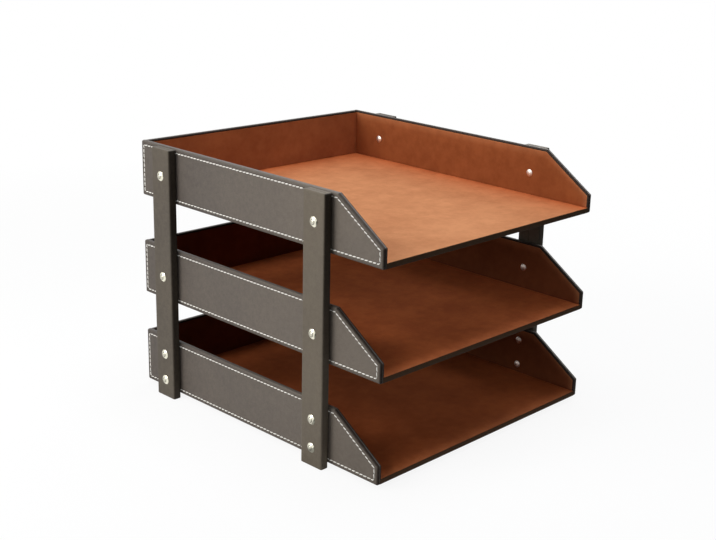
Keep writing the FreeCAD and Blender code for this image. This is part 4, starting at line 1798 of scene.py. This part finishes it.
@dataclass(frozen=True)
class Studio:
    """A white table and backdrop in a studio that is dark in front.

    Soft lamps hang above and at both sides, and a faint one in front.

    Attributes:
        lamps: The lamps.
        bright_way: The direction in which the surroundings are brightest.
        dark_until: Up to this share of that direction the surroundings are faintest.
        bright_from: From this share on they are white.
        faintest: Their brightness where they are faintest.
        ambient: How strongly the backdrop lights the object.
        floor_half: Half of the table's side.
        floor_bounce: How much of its light the table scatters onto the object.
        floor_shadow: The share of the table's brightness that takes shadows.
        shadow_near: Up to here from the middle that share is whole.
        shadow_far: From here on it is nothing.
        lit_near: Up to here from the middle the table scatters its light whole, in front as well.
        lit_far: From here on only as much as its surroundings.
        mirrored: The least brightness of the table near the middle where the object mirrors it.
    """

    lamps: tuple[SoftLamp, ...] = (
        SoftLamp("overhead_lamp", 0.0, 89.0, 1.3, 0.7, 0.7, 0.46, (0.95, 1.0, 1.07)),
        SoftLamp("left_lamp", -112.0, 26.0, 1.3, 0.65, 0.88, 0.65, (1.0, 0.985, 0.96)),
        SoftLamp("right_lamp", 98.0, 26.0, 1.3, 0.8, 0.8, 0.30),
        SoftLamp("front_lamp", 0.0, 32.0, 1.3, 0.8, 0.4, 0.07),
    )
    bright_way: Triple = (0.0, 0.93, 0.37)
    dark_until: float = -0.42
    bright_from: float = -0.26
    faintest: float = 0.03
    ambient: float = 0.2
    floor_half: float = 6.0
    floor_bounce: float = 0.8
    floor_shadow: float = 0.1
    shadow_near: float = 0.5
    shadow_far: float = 1.1
    lit_near: float = 0.2
    lit_far: float = 0.5
    mirrored: float = 0.25

    def surround(self, graph: NodeGraph, direction: Any) -> Any:
        """Brightness of the surroundings in a direction, from faint in front to one elsewhere."""
        ahead = graph.add("ShaderNodeVectorMath", {0: direction, 1: self.bright_way}, operation="DOT_PRODUCT")
        return graph.spread(ahead.outputs["Value"], self.dark_until, self.bright_from, self.faintest, 1.0)

    def set_world(self) -> None:
        """A backdrop that the camera sees white, that metal sees dark in front and that lights faintly."""
        world = bpy.data.worlds.new("white_backdrop")
        bpy.context.scene.world = world
        world.use_nodes = True
        world.node_tree.nodes.clear()
        graph = NodeGraph(world.node_tree)
        path = graph.add("ShaderNodeLightPath").outputs
        around = self.surround(graph, graph.add("ShaderNodeTexCoord").outputs["Generated"])
        shiny = graph.math("MAXIMUM", path["Is Glossy Ray"], path["Is Transmission Ray"])
        share = graph.spread(shiny, 0.0, 1.0, self.ambient, 1.0)
        strength = graph.math("MAXIMUM", graph.math("MULTIPLY", around, share), path["Is Camera Ray"])
        white = graph.add("ShaderNodeBackground", {"Color": opaque(WHITE), "Strength": strength})
        graph.add("ShaderNodeOutputWorld", {"Surface": white.outputs[0]})

    def floor_material(self) -> bpy.types.Material:
        """White table top: mostly plain white, with a share that takes the object's shadow near it.

        Returns:
            The material.
        """
        material = bpy.data.materials.new("table_top")
        material.use_nodes = True
        material.node_tree.nodes.clear()
        graph = NodeGraph(material.node_tree)
        path = graph.add("ShaderNodeLightPath").outputs
        place = graph.add("ShaderNodeTexCoord").outputs["Object"]
        away = graph.add("ShaderNodeVectorMath", {0: place}, operation="LENGTH").outputs["Value"]
        direction = graph.add("ShaderNodeVectorMath", {0: place}, operation="NORMALIZE").outputs["Vector"]
        around = self.surround(graph, direction)
        least = graph.spread(away, self.lit_near, self.lit_far, self.mirrored, 0.0)
        strength = graph.math("MAXIMUM", graph.math("MAXIMUM", around, least), path["Is Camera Ray"])
        white = graph.add("ShaderNodeEmission", {"Color": opaque(WHITE), "Strength": strength})
        shaded = graph.add("ShaderNodeBsdfDiffuse", {"Color": opaque(WHITE)})
        share = graph.spread(away, self.shadow_near, self.shadow_far, self.floor_shadow, 0.0)
        seen = graph.add("ShaderNodeMixShader", {0: share, 1: white.outputs[0], 2: shaded.outputs[0]})
        close = graph.spread(away, self.lit_near, self.lit_far, 1.0, 0.0)
        bounce = graph.math("MULTIPLY", graph.math("MAXIMUM", around, close), self.floor_bounce)
        dim = graph.add("ShaderNodeBsdfDiffuse", {"Color": graph.grey(bounce)})
        scattered = path["Is Diffuse Ray"]
        mixed = graph.add("ShaderNodeMixShader", {0: scattered, 1: seen.outputs[0], 2: dim.outputs[0]})
        graph.add("ShaderNodeOutputMaterial", {"Surface": mixed.outputs[0]})
        return material

    def lay_floor(self) -> None:
        """Lays the table top."""
        reach = self.floor_half
        mesh = bpy.data.meshes.new("table_top")
        corners = [(-reach, -reach, 0.0), (reach, -reach, 0.0), (reach, reach, 0.0), (-reach, reach, 0.0)]
        mesh.from_pydata(corners, [], [(0, 1, 2, 3)])
        mesh.materials.append(self.floor_material())
        floor = put_in_scene("table_top", mesh)

    def set_up(self) -> None:
        """Sets the backdrop, the floor and the lamps, and shows colours plainly."""
        self.set_world()
        self.lay_floor()
        low, high = cad_box
        for lamp in self.lamps:
            lamp.hang((low + high) / 2)
        bpy.context.scene.view_settings.view_transform = "Standard"


def dress_boards() -> None:
    """Gives the boards and the post cores, which stay as packed, their fibreboard."""
    for name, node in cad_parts.items():
        if name.endswith(("_board", "_post_core")):
            node.data.materials.clear()
            node.data.materials.append(HIDDEN_BOARD.material())
            log.info("%s: kept, %s", name, HIDDEN_BOARD.name)


def screw_heights(trays: Sequence[Tray], screw_spacing: float = 26.0 * MM) -> tuple[float, ...]:
    """Heights of a post's screws: two through the bottom tray and one through the middle of each other.

    Args:
        trays: The trays, from the lowest up.
        screw_spacing: How far apart the bottom tray's two screws are.

    Returns:
        The heights above the table.
    """
    middles = [tray.sizes.level + tray.sizes.height / 2 for tray in trays]
    pair = (middles[0] - screw_spacing / 2, middles[0] + screw_spacing / 2)
    return (*pair, *middles[1:])


def main() -> None:
    """Builds the trays, then the posts, then the studio round them."""
    logging.basicConfig(level=logging.INFO, format="%(name)s: %(message)s")
    PhotoCamera().set_up()
    trays = [Tray(tier, TraySizes.of(tier)) for tier in Tier]
    for tray in trays:
        tray.build()
    heights = screw_heights(trays)
    sizes = trays[0].sizes
    for station in Station:
        for side in Side:
            Post(station, side, heights, sizes.half_width - sizes.wall_depth).build()
    dress_boards()
    Studio().set_up()


if __name__ == "__main__":
    main()
